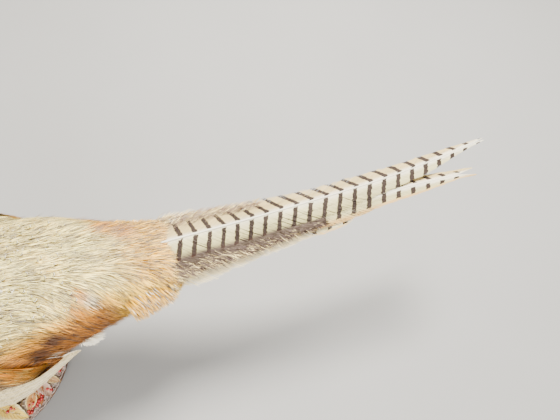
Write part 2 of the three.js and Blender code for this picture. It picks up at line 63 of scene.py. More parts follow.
camera_data = bpy.data.cameras.new("camera")
camera_data.sensor_width = 36.0
camera_data.lens = 26.68
camera_data.clip_start = 0.01
camera = bpy.data.objects.new("camera", camera_data)
bpy.context.scene.collection.objects.link(camera)
rightward = Vector((-0.94742, 0.31859, 0.02994))
backward = Vector((0.17182, 0.42754, 0.88752))
upward = backward.cross(rightward)
turn = Matrix((rightward, upward, backward)).transposed()
camera.matrix_world = Matrix.Translation(TAIL_ROOT + Vector((-0.05846, 0.22365, 0.460))) @ turn.to_4x4()
bpy.context.scene.camera = camera


def soft_light(name, place, aim, size, power, colour):
    data = bpy.data.lights.new(name, "AREA")
    data.shape = "DISK"
    data.size = size
    data.energy = power
    data.color = colour
    light = bpy.data.objects.new(name, data)
    light.location = place
    light.rotation_euler = (Vector(place) - Vector(aim)).to_track_quat("Z", "Y").to_euler()
    bpy.context.scene.collection.objects.link(light)


soft_light("key", (-0.9, -0.7, 1.9), (-0.1, 0.0, 0.2), 0.7, 150, (1.0, 0.95, 0.86))
soft_light("fill", (0.2, 1.9, 1.2), (0.0, 0.0, 0.2), 1.6, 72, (1.0, 0.97, 0.92))
world = bpy.data.worlds.new("studio")
world.use_nodes = True
world.node_tree.nodes["Background"].inputs["Color"].default_value = (0.91, 0.895, 0.87, 1)
world.node_tree.nodes["Background"].inputs["Strength"].default_value = 0.73
bpy.context.scene.world = world


class Shade:
    """A material's node tree, written as a chain of short calls."""

    def __init__(self, name, **sockets):
        self.material = bpy.data.materials.new(name)
        self.material.use_nodes = True
        self.nodes = self.material.node_tree.nodes
        self.links = self.material.node_tree.links
        self.surface = self.nodes["Principled BSDF"]
        for socket, value in sockets.items():
            self.surface.inputs[socket.replace("_", " ")].default_value = value

    def put(self, socket, value):
        if isinstance(value, bpy.types.NodeSocket):
            self.links.new(value, socket)
        else:
            socket.default_value = value

    def node(self, kind, out=0, inputs=None, **settings):
        node = self.nodes.new(kind)
        for key, value in settings.items():
            setattr(node, key, value)
        for key, value in (inputs or {}).items():
            self.put(node.inputs[key], value)
        return node.outputs[out]

    def math(self, operation, a, b=0.0, c=0.0, clamp=False):
        inputs = {0: a, 1: b, 2: c}
        return self.node("ShaderNodeMath", operation=operation, use_clamp=clamp, inputs=inputs)

    def step(self, value, low, high, first=0.0, last=1.0):
        """From first at low to last at high, eased."""
        inputs = {"Value": value, "From Min": low, "From Max": high, "To Min": first, "To Max": last}
        return self.node("ShaderNodeMapRange", interpolation_type="SMOOTHSTEP", inputs=inputs)

    def mix(self, share, a, b, blend="MIX"):
        inputs = {0: share, 6: a, 7: b}
        return self.node("ShaderNodeMix", out=2, data_type="RGBA", blend_type=blend, inputs=inputs)

    def place(self, scale=1.0, stretch=(1, 1, 1)):
        """The object's own coordinates, in metres, stretched for a grain."""
        where = self.node("ShaderNodeTexCoord", out="Object")
        inputs = {"Vector": where, "Scale": tuple(scale * k for k in stretch)}
        return self.node("ShaderNodeMapping", inputs=inputs)

    def noise(self, vector, scale=5.0, detail=3.0, roughness=0.55):
        inputs = {"Vector": vector, "Scale": scale, "Detail": detail, "Roughness": roughness}
        return self.node("ShaderNodeTexNoise", out=0, inputs=inputs)

    def attribute(self, name, out="Fac"):
        return self.node("ShaderNodeAttribute", out=out, attribute_name=name)

    def ink(self, name):
        """A colour that the mesh carries."""
        return self.attribute(name, "Color")

    def parts(self, vector):
        split = self.nodes.new("ShaderNodeSeparateXYZ")
        self.put(split.inputs[0], vector)
        return split.outputs

    def vane(self):
        """How far a place on a feather or leaf is from its quill, and how far up, both 0 to 1."""
        where = self.parts(self.node("ShaderNodeUVMap", uv_map="vane"))
        across = self.math("MULTIPLY_ADD", where["X"], 2.0, -1.0)
        return self.math("ABSOLUTE", across), where["Y"]

    def times(self, a, b, more=None):
        """a times b, and more added to it."""
        if more is None:
            return self.math("MULTIPLY", a, b)
        return self.math("MULTIPLY_ADD", a, b, more)

    def bump(self, height, distance, strength=1.0):
        inputs = {"Height": height, "Distance": distance, "Strength": strength}
        self.put(self.surface.inputs["Normal"], self.node("ShaderNodeBump", inputs=inputs))

    def colour(self, value):
        self.put(self.surface.inputs["Base Color"], value)


pale = Shade("pale_floor", Roughness=0.75)
floor_cloud = pale.noise(pale.place(), 3.0)
pale.colour(pale.mix(floor_cloud, (0.34, 0.34, 0.335, 1), (0.38, 0.38, 0.375, 1)))
floor_mesh = bpy.data.meshes.new("floor")
reach = 4.0
floor_corners = [(-reach, -reach, 0), (reach, -reach, 0), (reach, reach, 0), (-reach, reach, 0)]
floor_mesh.from_pydata(floor_corners, [], [(0, 1, 2, 3)])
floor_mesh.materials.append(pale.material)
floor = bpy.data.objects.new("floor", floor_mesh)
floor.location.z = -0.0005
bpy.context.scene.collection.objects.link(floor)
floor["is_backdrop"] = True

# ---- skin ----
# The stuffed skin under the plumage, one closed surface over the trunk, neck, head,
# wings, thighs and the root of the tail. It lies inside the outline by the depth of the coat.
FLESH = [
    "rump", "trunk", "neck_lower", "neck_upper", "head", "thigh_left", "thigh_right",
    "wing_left", "wing_right", "tail_coverts_under",
]
ORIGIN = np.array(TAIL_ROOT)


def ramp(value, low, high):
    t = np.clip((value - low) / (high - low), 0.0, 1.0)
    return t * t * (3 - 2 * t)


def band(value, low, full, fade, high):
    """0 up to low, 1 from full to fade, 0 from high on."""
    return ramp(value, low, full) * (1 - ramp(value, fade, high))


def within(value, low, high):
    return (value > low) * (value < high)


def coat_depth(points):
    """How deep the plumage stands over the skin: thick on the rump, thin on the face."""
    forward, _, height = (points - ORIGIN).T
    thin = ramp(height, 0.07, 0.17) * ramp(forward, 0.24, 0.28)
    legs = ramp(-height, 0.095, 0.12)
    return 0.0048 - 0.0030 * thin - 0.0018 * legs


def joined_copy(nodes):
    whole = bmesh.new()
    for node in nodes:
        whole.from_mesh(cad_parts[node].data)
    bmesh.ops.remove_doubles(whole, verts=whole.verts, dist=1e-5)
    bmesh.ops.recalc_face_normals(whole, faces=whole.faces)
    whole.normal_update()
    for vert in whole.verts:
        vert.co += vert.normal * 0.0004  # closes the thin cuts between the nodes
    mesh = bpy.data.meshes.new("joined")
    whole.to_mesh(mesh)
    whole.free()
    return mesh


def fixed(piece, slot, *nodes):
    """The piece is fixed to the mount and stands for these parts of the plain model."""
    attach(piece, "root")
    if nodes:
        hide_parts(*nodes)


def link(name, mesh, material=None):
    piece = bpy.data.objects.new(name, mesh)
    bpy.context.scene.collection.objects.link(piece)
    if material:
        mesh.materials.append(material)
    return piece


def apply_modifiers(piece):
    depsgraph = bpy.context.evaluated_depsgraph_get()
    mesh = bpy.data.meshes.new_from_object(piece.evaluated_get(depsgraph))
    piece.modifiers.clear()
    piece.data = mesh
    return mesh


def remeshed(piece, voxel, smoothings):
    grid = piece.modifiers.new("grid", "REMESH")
    grid.mode = "VOXEL"
    grid.voxel_size = voxel
    even = piece.modifiers.new("even", "SMOOTH")
    even.iterations = smoothings
    even.factor = 0.5
    return apply_modifiers(piece)


def read(items, field, size, kind=float):
    """One field of all vertices, loops or triangles of a mesh, as an array."""
    values = np.empty(len(items) * size, kind)
    items.foreach_get(field, values)
    return values.reshape(-1, size)


skin = link("skin", joined_copy(FLESH))
skin_mesh = remeshed(skin, 0.0026, 6)
points = read(skin_mesh.vertices, "co", 3)
points -= read(skin_mesh.vertex_normals, "vector", 3) * (coat_depth(points)[:, None] + 0.0004)
skin_mesh.vertices.foreach_set("co", points.ravel())
skin_mesh.update()
skin_mesh.polygons.foreach_set("use_smooth", np.ones(len(skin_mesh.polygons), bool))

bpy.context.view_layer.objects.active = skin
skin.select_set(True)
bpy.ops.object.mode_set(mode="EDIT")
bpy.ops.mesh.select_all(action="SELECT")
bpy.ops.uv.smart_project(angle_limit=math.radians(66), island_margin=0.002)
bpy.ops.object.mode_set(mode="OBJECT")
skin.select_set(False)
skin_mesh.uv_layers[0].name = "OFBake"

skin_mesh.calc_loop_triangles()
triangles = skin_mesh.loop_triangles
corners = read(triangles, "vertices", 3, int)
skin_uv = read(skin_mesh.uv_layers["OFBake"].data, "uv", 2)
triangle_uv = skin_uv[read(triangles, "loops", 3, int)].mean(1)
surface = BVHTree.FromPolygons(points.tolist(), corners.tolist())
corner_points = points[corners]
fixed(skin, "body_plumage", *FLESH)

# ---- body plumage ----
# Small cupped feathers lie like shingles over the neck, breast, mantle and wings.
# On the rump, flanks and belly their barbs are loose, and hang as long thin strands.
dice = np.random.default_rng(7)
SIDES = ((1, "left"), (-1, "right"))


def tone(red, green, blue):
    """A colour as seen, 0 to 255, in the linear values that shaders take."""
    seen = np.array([red, green, blue]) / 255
    return np.where(seen > 0.04045, ((seen + 0.055) / 1.055) ** 2.4, seen / 12.92)


CREAM = tone(250, 228, 136)
SAGE_GREY = tone(206, 198, 124)
BUFF = tone(246, 204, 66)
ROOT_YELLOW = tone(234, 176, 16)
ORANGE = tone(228, 150, 26)
RUST = tone(146, 76, 10)
MAROON = tone(78, 42, 34)
DOWN_WHITE = tone(250, 244, 226)
SLATE = tone(150, 142, 128)
COPPER = tone(168, 82, 36)
PURPLE_BLACK = tone(34, 20, 30)
GOLD = tone(214, 160, 84)
BELLY_BROWN = tone(62, 44, 34)
NECK_GREEN = tone(14, 62, 44)
NECK_BLUE = tone(20, 36, 84)
NECK_VIOLET = tone(58, 26, 70)
RING_WHITE = tone(232, 228, 214)
SANDY = tone(176, 146, 106)
COVERT_CREAM = tone(222, 202, 158)


def smooth(stations):
    """A smooth curve through a few stations, the same one that shapes the solids."""
    x, y = np.array(stations, float).T
    wide = np.concatenate([[x[1] - x[0]], x[2:] - x[:-2], [x[-1] - x[-2]]])
    high = np.concatenate([[y[1] - y[0]], y[2:] - y[:-2], [y[-1] - y[-2]]])
    slope = high / wide

    def curve(d):
        d = np.clip(np.asarray(d, float), x[0], x[-1])
        i = np.clip(np.searchsorted(x, d, side="right") - 1, 0, len(x) - 2)
        span = x[i + 1] - x[i]
        t = (d - x[i]) / span
        rise = (2 * t ** 3 - 3 * t ** 2 + 1) * y[i] + (3 * t ** 2 - 2 * t ** 3) * y[i + 1]
        leave = (t ** 3 - 2 * t ** 2 + t) * span * slope[i]
        return rise + leave + (t ** 3 - t ** 2) * span * slope[i + 1]

    return curve


# outlines of the stuffed body, in millimetres from the tail root: forward against height or half width
back_line = smooth([
    (-4, 1), (37, 13), (94, 29), (150, 46), (210, 61), (270, 71), (300, 70), (330, 54), (345, 32), (352, 4),
])
belly_line = smooth([
    (-4, -44), (37, -57), (94, -74), (150, -89), (210, -95), (270, -89), (305, -75), (330, -55),
    (345, -32), (352, -4),
])
flank_line = smooth([
    (-4, 46), (20, 52), (44, 57), (94, 71), (120, 80), (150, 86), (210, 91), (270, 84), (305, 68),
    (330, 48), (352, 5),
])
WING_WRIST, WING_REAR = 322, 140  # ends of the folded wing
BODY_ROUND = 1.125  # how much fuller than an ellipse the body's cross sections are
wing_top = smooth([(0, 0.1), (0.12, 0.72), (0.35, 0.98), (0.65, 0.72), (0.88, 0.12), (1, -0.3)])
wing_bottom = smooth([(0, -0.25), (0.12, -0.52), (0.35, -0.64), (0.7, -0.62), (1, -0.5)])
wing_bulge = smooth([(0, 3), (0.15, 11), (0.45, 15), (0.8, 9), (1, 3)])


def power(value, exponent):
    return np.sign(value) * np.abs(value) ** exponent


def wing_where(points):
    """Where a point of the body lies on its folded wing: u from the wrist back, v from the top down."""
    forward, left, height = ((points - ORIGIN) * 1000).T
    u = (WING_WRIST - forward) / (WING_WRIST - WING_REAR)
    top, bottom = back_line(forward), belly_line(forward)
    high = power((height - (top + bottom) / 2) / ((top - bottom) / 2 + 6), BODY_ROUND)
    wide = power(np.abs(left) / (flank_line(forward) + 6), BODY_ROUND)
    angle = np.arctan2(high, wide)
    clamped = np.clip(u, 0, 1)
    return u, (angle - wing_top(clamped)) / (wing_bottom(clamped) - wing_top(clamped))


def blend(colour, other, share):
    """Between two colours, by a share for each feather."""
    return colour + (other - colour) * share[:, None]


def near(points, forward, left, height, radius):
    """1 at a spot of the body, falling to 0 at its radius."""
    apart = np.linalg.norm(points - ORIGIN - np.array([forward, left, height]), axis=1)
    return 1 - ramp(apart, radius * 0.35, radius)


def neck_reach(points):
    """How far up the neck's own line a point lies, in metres from the shoulders."""
    forward, _, height = (points - ORIGIN).T
    return (forward - 0.256) * 0.36 + (height + 0.008) * 0.93


def wavy(points, scale, seed):
    """A slow, smooth variation over the body, from -1 to 1."""
    a, b, c = (points * scale + seed).T
    return np.sin(a + 1.7 * np.sin(b)) * np.cos(b + 1.3 * np.sin(c + a)) * 0.8 + 0.2 * np.sin(2.3 * c)


def golden_line(forward):
    """How far from the middle of the back the golden plumage of the flank begins, in metres."""
    return 0.045 + 0.28 * np.maximum(forward - 0.07, 0)


def plumage(points, normals):
    """The colours of the plumage at points of the body, for the skin and for every feather:
    ground, border of each feather, strength of its dark marks, and gloss."""
    forward, left, height = (points - ORIGIN).T
    slow = wavy(points, 55.0, 1.0)
    fine = wavy(points, 190.0, 4.0)
    side = np.abs(left)
    ground = blend(CREAM, SAGE_GREY, np.clip(0.42 + 0.35 * slow + 0.2 * fine, 0, 1))
    border = np.tile(DOWN_WHITE, (len(points), 1))
    marks = ramp(forward, 0.10, 0.14)

    # the tail's root and the fringe of the rump are yellower, the flanks golden and rust
    root = 1 - ramp(forward, 0.015, 0.07)
    ground = blend(ground, ROOT_YELLOW, root * np.clip(0.85 + 0.3 * fine, 0, 1))
    golden_from = golden_line(forward) + (left < 0) * 0.022 * ramp(forward, 0.07, 0.13)
    edge = ramp(side, golden_from - 0.012, golden_from + 0.010)
    edge *= 1 - ramp(forward, 0.20, 0.23)
    golden = edge * np.clip(0.75 + 0.35 * slow + 0.25 * fine, 0, 1)
    ground = blend(ground, BUFF, golden)
    rusty = edge * ramp(forward, 0.045, 0.085) * ramp(side - golden_from, -0.004, 0.014)
    ground = blend(ground, ORANGE, np.clip(rusty * 0.9, 0, 1))
    ground = blend(ground, RUST, rusty * ramp(side - golden_from, 0.004, 0.020) * 0.75)
    far = [near(points, *spot, 0.026) for spot in ((0.040, -0.030, 0.012), (0.058, -0.042, 0.012))]
    ground = blend(ground, tone(204, 136, 0), np.maximum(*far))
    for spot, radius in (((0.092, 0.045, 0.020), 0.012), ((0.101, 0.060, 0.011), 0.015)):
        ground = blend(ground, ORANGE, near(points, *spot, radius) * 0.8)
    ground = blend(ground, DOWN_WHITE, near(points, 0.084, 0.052, 0.014, 0.012) * 0.5)
    for x, y, z in ((0.133, 0.078, 0.001), (0.150, 0.085, -0.012)):
        both = np.maximum(near(points, x, y, z, 0.016), near(points, x, -y, z - 0.02, 0.016))
        ground = blend(ground, tone(88, 42, 16), both * 0.9)
    ground = blend(ground, DOWN_WHITE, near(points, 0.141, 0.082, -0.031, 0.007))
    pale_edge = edge * ramp(-height, 0.040, 0.054) * ramp(forward, 0.10, 0.13)
    pale_edge *= (normals[:, 2] > -0.6) * np.clip(0.6 + 0.5 * fine, 0, 0.9)
    ground = blend(ground, tone(236, 222, 190), pale_edge)
    border = blend(border, ground, edge * 0.8)

    # mantle: chestnut and gold behind the neck, fading to grey-cream over the back
    mantle = ramp(forward, 0.17, 0.25) * (1 - ramp(neck_reach(points), 0.05, 0.075))
    half_fine = np.clip(0.5 + 0.5 * fine, 0, 1)
    ground = blend(ground, blend(GOLD, COPPER, half_fine), mantle)
    border = blend(border, COVERT_CREAM, mantle * 0.6)
    marks = np.maximum(marks, mantle)

    # wings: sandy grey coverts with pale middles and chestnut edges; shoulders cream and maroon
    u, v = wing_where(points)
    wing = band(v, -0.06, 0.05, 0.97, 1.06) * band(u, 0.0, 0.06, 0.72, 0.80)
    wing *= 1 - ramp(height, 0.075, 0.095)
    ground = blend(ground, blend(SANDY, COVERT_CREAM, half_fine), wing)
    border = blend(border, tone(146, 82, 52), wing * 0.8)
    shoulder = band(v, -0.75, -0.45, -0.06, 0.05) * band(u, 0.1, 0.25, 0.5, 0.66)
    ground = blend(ground, COVERT_CREAM, shoulder * 0.8)
    border = blend(border, tone(120, 52, 34), shoulder * 0.85)
    marks = np.maximum(marks, np.maximum(wing * 0.7, shoulder))

    # breast: copper with dark edges; belly: dark brown; sides: gold with black spots
    breast = ramp(forward, 0.26, 0.31) * (1 - ramp(height, 0.055, 0.075)) * (1 - wing)
    ground = blend(ground, COPPER, breast)
    border = blend(border, PURPLE_BLACK, breast)
    low = ramp(-normals[:, 2], 0.45, 0.85)
    flank = ramp(-normals[:, 2], -0.25, 0.10) * (1 - low) * ramp(forward, 0.16, 0.20)
    flank *= (1 - breast) * (1 - wing)
    ground = blend(ground, GOLD, flank)
    border = blend(border, PURPLE_BLACK, flank * 0.8)
    belly = low * ramp(forward, 0.10, 0.16)
    ground = blend(ground, BELLY_BROWN, belly * 0.85)
    border = blend(border, BELLY_BROWN, belly * 0.9)
    vent = low * (1 - ramp(forward, 0.10, 0.16))
    ground = blend(ground, RUST, vent * 0.55)
    thigh = ramp(-height, 0.098, 0.108) * ramp(forward, 0.17, 0.18)
    ground = blend(ground, SLATE, thigh * 0.7)
    marks *= 1 - np.maximum(belly, thigh)

    # neck and head: glossy green and blue, with a white collar
    reach_up = neck_reach(points)
    dark = ramp(reach_up, 0.076, 0.084)
    sheen = blend(NECK_GREEN, NECK_BLUE, np.clip(0.45 + 0.6 * wavy(points, 40.0, 2.0), 0, 1))
    sheen = blend(sheen, NECK_VIOLET, band(reach_up, 0.09, 0.12, 0.13, 0.17) * 0.6)
    sheen = blend(sheen, tone(60, 66, 46), ramp(height, 0.222, 0.236) * 0.7)
    ground = blend(ground, sheen, dark)
    border = blend(border, sheen * 1.5, dark)
    ring = band(reach_up, 0.082, 0.087, 0.104, 0.110)
    ground = blend(ground, RING_WHITE, ring)
    border = blend(border, RING_WHITE, ring)
    marks *= 1 - dark
    gloss = np.maximum(dark * (1 - ring), 0.45 * breast)
    return ground, border, marks, gloss


def unit(vectors):
    return vectors / np.maximum(np.linalg.norm(vectors, axis=-1, keepdims=True), 1e-9)


def flow(points, normals):
    """The lie of the coat: the way each feather points over the body."""
    forward, left, height = (points - ORIGIN).T
    to_left = left > 0
    sideways = np.where(to_left, 1.0, 0.35) * ramp(np.abs(left), 0.009, 0.045)
    sideways *= np.where(to_left, 1.0, ramp(forward, 0.004, 0.035)) * (1 - ramp(forward, 0.11, 0.17))
    drape = np.stack([0 * left, np.sign(left), -0.12 - 0.63 * ramp(forward, 0.0, 0.05)], 1)
    way = np.array([-1.0, 0.0, -0.08]) + drape * (sideways * 0.95)[:, None]
    for rearward, downward, share in (  # breast, neck, head and thighs
        (-0.45, -0.9, ramp(forward, 0.27, 0.34) * (1 - ramp(height, 0.02, 0.08))),
        (-0.36, -0.93, ramp(neck_reach(points), 0.03, 0.09)),
        (-1.0, -0.45, ramp(height, 0.175, 0.20)),
        (-0.2, -1.0, ramp(-height, 0.094, 0.106) * ramp(forward, 0.17, 0.19)),
    ):
        way = blend(way, np.array([rearward, 0.0, downward]), share)
    return unit(way - normals * (way * normals).sum(1)[:, None])


def on_skin(points):
    """The nearest places on the skin, the normals there and the triangles they lie on."""
    found = [surface.find_nearest(point)[:3] for point in points.tolist()]
    return tuple(np.array(values) for values in zip(*found))


def scatter(count, wanted):
    """Random places on the skin, kept where wanted(points, normals) is above a throw of the dice."""
    sides = corner_points[:, 1:] - corner_points[:, :1]
    area = np.linalg.norm(np.cross(sides[:, 0], sides[:, 1]), axis=1)
    pick = dice.choice(len(area), count, p=area / area.sum())
    a, b = dice.random((2, count))
    over = a + b > 1
    a[over], b[over] = 1 - a[over], 1 - b[over]
    places = corner_points[pick, 0] + sides[pick, 0] * a[:, None] + sides[pick, 1] * b[:, None]
    normals = unit(np.cross(sides[pick, 0], sides[pick, 1]))
    keep = dice.random(count) < wanted(places, normals)
    return places[keep], normals[keep], pick[keep]


def spaced(places, spacing):
    """Leaves only places at least spacing apart, as feathers stand in their tracts."""
    tree = KDTree(len(places))
    for i, place in enumerate(places.tolist()):
        tree.insert(place, i)
    tree.balance()
    free = np.ones(len(places), bool)
    kept = []
    for i, place in enumerate(places.tolist()):
        if free[i]:
            kept.append(i)
            for _, other, _ in tree.find_range(place, spacing[i]):
                free[other] = False
    return np.array(kept)


def follow(places, normals, lengths, sway, steps, rise, foot, stiff):
    """The middle lines of feathers: each runs over the skin with the lie, standing clear as it goes.
    A stiff one runs on straight where the body curves away under it."""
    lines, ups, ways = [], [], []
    here, up = places, normals
    for k in range(steps + 1):
        way = flow(here, up)
        across = np.cross(up, way)
        way = unit(way + across * sway[:, None])
        u = k / steps
        lines.append(here + up * (foot + rise * lengths * u ** 1.25)[:, None])
        ups.append(up)
        ways.append(way)
        if k < steps:
            ahead = here + way * (lengths / steps)[:, None]
            held = (ahead[:, 0] - ORIGIN[0] > 0.004)[:, None]  # past the rump a feather runs on freely
            laid, new_up, _ = on_skin(ahead)
            clear = ((ahead - laid) * new_up).sum(1)[:, None] > 0
            laid = laid + (ahead - laid) * (stiff[:, None] * clear)
            here = np.where(held, laid, ahead)
            up = np.where(held, new_up, up)
    return np.stack(lines, 1), np.stack(ups, 1), np.stack(ways, 1)


def grid_quads(rows, columns, count=1, closed=False):
    """The quads of grids of rows by columns points, closed round if asked."""
    i, j = np.meshgrid(np.arange(rows - 1), np.arange(columns if closed else columns - 1), indexing="ij")
    corner, beside = (i * columns + j).ravel(), (i * columns + (j + 1) % columns).ravel()
    quad = np.stack([corner, beside, beside + columns, corner + columns], 1)
    return (quad[None] + rows * columns * np.arange(count)[:, None, None]).reshape(-1, 4)


def quads_mesh(name, slot, nodes, places, quads, maps, colours, numbers, material):
    """A piece from arrays, with its maps and named values, one value for each vertex."""
    mesh = bpy.data.meshes.new(name)
    mesh.vertices.add(len(places))
    mesh.vertices.foreach_set("co", places.ravel())
    mesh.loops.add(quads.size)
    mesh.loops.foreach_set("vertex_index", quads.ravel())
    mesh.polygons.add(len(quads))
    mesh.polygons.foreach_set("loop_start", np.arange(0, quads.size, 4))
    mesh.polygons.foreach_set("use_smooth", np.ones(len(quads), bool))
    mesh.update(calc_edges=True)
    for key, value in maps.items():
        mesh.uv_layers.new(name=key).data.foreach_set("uv", value[quads.ravel()].ravel())
    for key, value in colours.items():
        rgba = np.column_stack([value, np.ones(len(value))])
        mesh.attributes.new(key, "FLOAT_COLOR", "POINT").data.foreach_set("color", rgba.ravel())
    for key, value in numbers.items():
        mesh.attributes.new(key, "FLOAT", "POINT").data.foreach_set("value", value)
    mesh.uv_layers.active = mesh.uv_layers["OFBake"]
    fixed(link(name, mesh, material), slot, *nodes)


def vanes(name, slot, lines, ups, widths, shape, material, pick, tint, ways=None, nodes=(), lot=None,
          cup=0.25, skew=0.0):
    """Feathers over their middle lines. shape is (steps along, half widths there, places across)."""
    along, profile, across = shape
    count, last = len(lines), lines.shape[1] - 1
    ways = unit(np.gradient(lines, axis=1)) if ways is None else ways
    at = np.array(along) * last
    first = np.minimum(at.astype(int), last - 1)
    part = (at - first)[None, :, None]
    line, up, way = (
        values[:, first] * (1 - part) + values[:, first + 1] * part for values in (lines, ups, ways)
    )
    half = (widths[:, None] * np.array(profile) / 2)[:, :, None]
    v = np.array(across)
    out = v * (1 + skew * np.sign(v))
    grid = line[:, :, None] + np.cross(up, way)[:, :, None] * (half * out)[..., None]
    grid -= up[:, :, None] * (half * cup * out ** 2)[..., None]
    each = len(along) * len(across)
    uu, vv = np.meshgrid(np.array(along), v, indexing="ij")
    vane = np.stack([vv.ravel() * 0.5 + 0.5, uu.ravel()], 1)
    bake = triangle_uv[pick][:, None] + (vane - 0.5)[None] * 0.003
    ground, border, marks, gloss = tint
    lot = dice.random(count) if lot is None else lot
    span = np.linalg.norm(lines[:, -1] - lines[:, 0], axis=1)
    colours = {"ground": ground, "border": border}
    numbers = {"marks": marks, "gloss": gloss, "lot": lot, "span": span}
    for values, wanted in ((colours, (count, 3)), (numbers, (count,))):
        for key, value in values.items():
            values[key] = np.repeat(np.broadcast_to(value, wanted), each, 0)
    maps = {"OFBake": bake.reshape(-1, 2), "vane": np.tile(vane, (count, 1))}
    quads = grid_quads(len(along), len(across), count)
    quads_mesh(name, slot, nodes, grid.reshape(-1, 3), quads, maps, colours, numbers, material)


def feathers(name, slot, roots, lengths, widths, shape, material, sway=0.12, rise=0.10, stiff=0.0, **more):
    """A coat of feathers that follow the skin from their roots, in the colours of the plumage there."""
    places, normals, pick = roots
    count = len(places)
    swaying = dice.normal(0, sway, count)
    rising = rise * dice.uniform(0.6, 1.4, count) * (1 - 0.6 * ramp(neck_reach(places), 0.06, 0.09))
    straight = dice.uniform(0, 1, count) * stiff
    lines, ups, ways = follow(places, normals, lengths, swaying, 4, rising, 0.0006, straight)
    tint = plumage(lines[:, 3], ups[:, 3])  # where most of it shows
    vanes(name, slot, lines, ups, widths, shape, material, pick, tint, ways, **more)


# how a feather's colours lie on its vane: dark mark within a pale border, pale quill, fine barbs
contour = Shade("contour_feather", Roughness=0.62, Specular_IOR_Level=0.22)
from_quill, up_vane = contour.vane()
ragged = contour.noise(contour.place(420.0), 2.2, 2.0)
tipward = contour.times(ragged, 0.22, contour.math("SUBTRACT", up_vane, 0.11))
outward = contour.times(contour.math("POWER", from_quill, 2.0), 0.22, tipward)
border_share = contour.step(outward, 0.86, 0.97)
mark_rim = contour.step(outward, 0.84, 0.93, 1.0, 0.0)
mark_band = contour.times(contour.step(outward, 0.70, 0.80), mark_rim)
mark_share = contour.times(mark_band, contour.attribute("marks"))
chance = contour.step(contour.attribute("lot"), 0.35, 0.65)
ground_paint = contour.ink("ground")
worn = contour.mix(contour.attribute("lot"), (0.80, 0.80, 0.80, 1), (1.10, 1.10, 1.10, 1))
ground_paint = contour.mix(1.0, ground_paint, worn, "MULTIPLY")
soft_root = contour.mix(contour.step(up_vane, 0.1, 0.6, 0.35, 0.0), ground_paint, (0.16, 0.13, 0.10, 1))
marked = contour.mix(contour.times(mark_share, chance), soft_root, (0.045, 0.032, 0.026, 1))
bordered = contour.mix(border_share, marked, contour.ink("border"))
barb_run = contour.times(from_quill, -0.55, up_vane)
barbs = contour.math("SINE", contour.times(barb_run, 130.0))
contour.colour(contour.mix(contour.times(barbs, 0.06, 0.06), bordered, (0.0, 0.0, 0.0, 1)))
contour.bump(barbs, 0.0001, 0.5)
contour.put(contour.surface.inputs["Metallic"], contour.times(contour.attribute("gloss"), 0.55))
gloss_rough = contour.times(contour.attribute("gloss"), -0.32, 0.66)
contour.put(contour.surface.inputs["Roughness"], gloss_rough)

# loose barbs: each strand is a single colour, darker at its root, with a few dark ones between that are
# painted shade for the gaps between the clumps
strand = Shade("loose_barbs", Roughness=0.75, Specular_IOR_Level=0.12)
_, strand_up = strand.vane()
strand_lot = strand.attribute("lot")
strand_paint = strand.mix(strand.step(strand_lot, 0.1, 1.0), (0.38, 0.32, 0.23, 1), (1.46, 1.48, 1.52, 1))
strand_paint = strand.mix(1.0, strand.ink("ground"), strand_paint, "MULTIPLY")
strand_paint = strand.mix(strand.step(strand_up, 0.05, 0.65, 0.7, 0.0), strand_paint, (0.13, 0.10, 0.07, 1))
# a strand whose lot is 0 turns near black: painted shade standing for a gap between clumps
strand_paint = strand.mix(strand.step(strand_lot, 0.085, 0.075), strand_paint, (0.10, 0.075, 0.055, 1))
tip_share = strand.times(strand.step(strand_up, 0.55, 1.0), 0.25)
strand.colour(strand.mix(tip_share, strand_paint, strand.ink("border")))

STRAND = ((0, 0.3, 0.6, 0.85, 1), (0.7, 1.0, 0.9, 0.55, 0.06), (-1, 1))
SCALE = ((0, 0.35, 0.62, 0.82, 0.94, 1), (0.45, 0.9, 1.0, 0.86, 0.55, 0.12), (-1, 0, 1))


def loose(points, normals):
    """1 where the plumage is loose and hair-like: rump, flanks and belly; 0 where it is scaly."""
    forward, left, height = (points - ORIGIN).T
    rump = 1 - 0.28 * ramp(forward, 0.13, 0.16) - 0.72 * ramp(forward, 0.175, 0.225)
    golden_from = golden_line(forward)
    flank = ramp(np.abs(left), golden_from - 0.014, golden_from) * (1 - ramp(forward, 0.19, 0.225))
    belly = ramp(-normals[:, 2], 0.2, 0.5) * (1 - ramp(forward, 0.24, 0.29))
    thigh = ramp(-height, 0.090, 0.100)
    return np.clip(np.maximum.reduce([rump, flank, belly, thigh]), 0, 1)


def strands(name, slot, count, wanted, clump=7, spread=0.0022, length=(0.020, 0.034),
            width=(0.0006, 0.0013), extremes=False, sway=0.10, **more):
    """Loose barbs in clumps, each clump one feather; extremes makes each either bright or dark. A quarter
    of the strands are dark, painted shade for the gaps between clumps, and the dark clumps of extremes are
    painted shade between the strands.
    """
    middles, up, pick = scatter(count // clump, wanted)
    places = np.repeat(middles, clump, 0) + dice.normal(0, spread, (len(middles) * clump, 3))
    places, up, pick = on_skin(places)
    count = len(places)
    size = dice.uniform(*length, count) * np.repeat(dice.uniform(0.8, 1.2, len(middles)), clump)
    lot = np.repeat(dice.random(len(middles)), clump) * 0.7 + dice.random(count) * 0.3
    # dark strands, a little narrower: painted shade for the gaps between the clumps
    dark = dice.random(count) < 0.25
    # with extremes the dark clumps are painted shade between the strands
    if extremes:
        bright = np.repeat(dice.random(len(middles)) < 0.55, clump)
        lot = np.where(bright, 0.94 + 0.1 * lot, 0.09 + 0.14 * lot)
        dark &= ~bright
    lot[dark] = 0.0
    wide = dice.uniform(*width, count) * np.where(dark, 0.85, 1.0)
    forward, left, _ = (places - ORIGIN).T
    room = forward.clip(0) + dice.uniform(0.004, 0.015, count)  # the rump ends where the tail comes out
    size = np.where(np.abs(left) < 0.052, np.minimum(size, room), size)
    feathers(name, slot, (places, up, pick), size, wide, STRAND, strand.material, lot=lot, cup=0.0,
             sway=sway, **more)


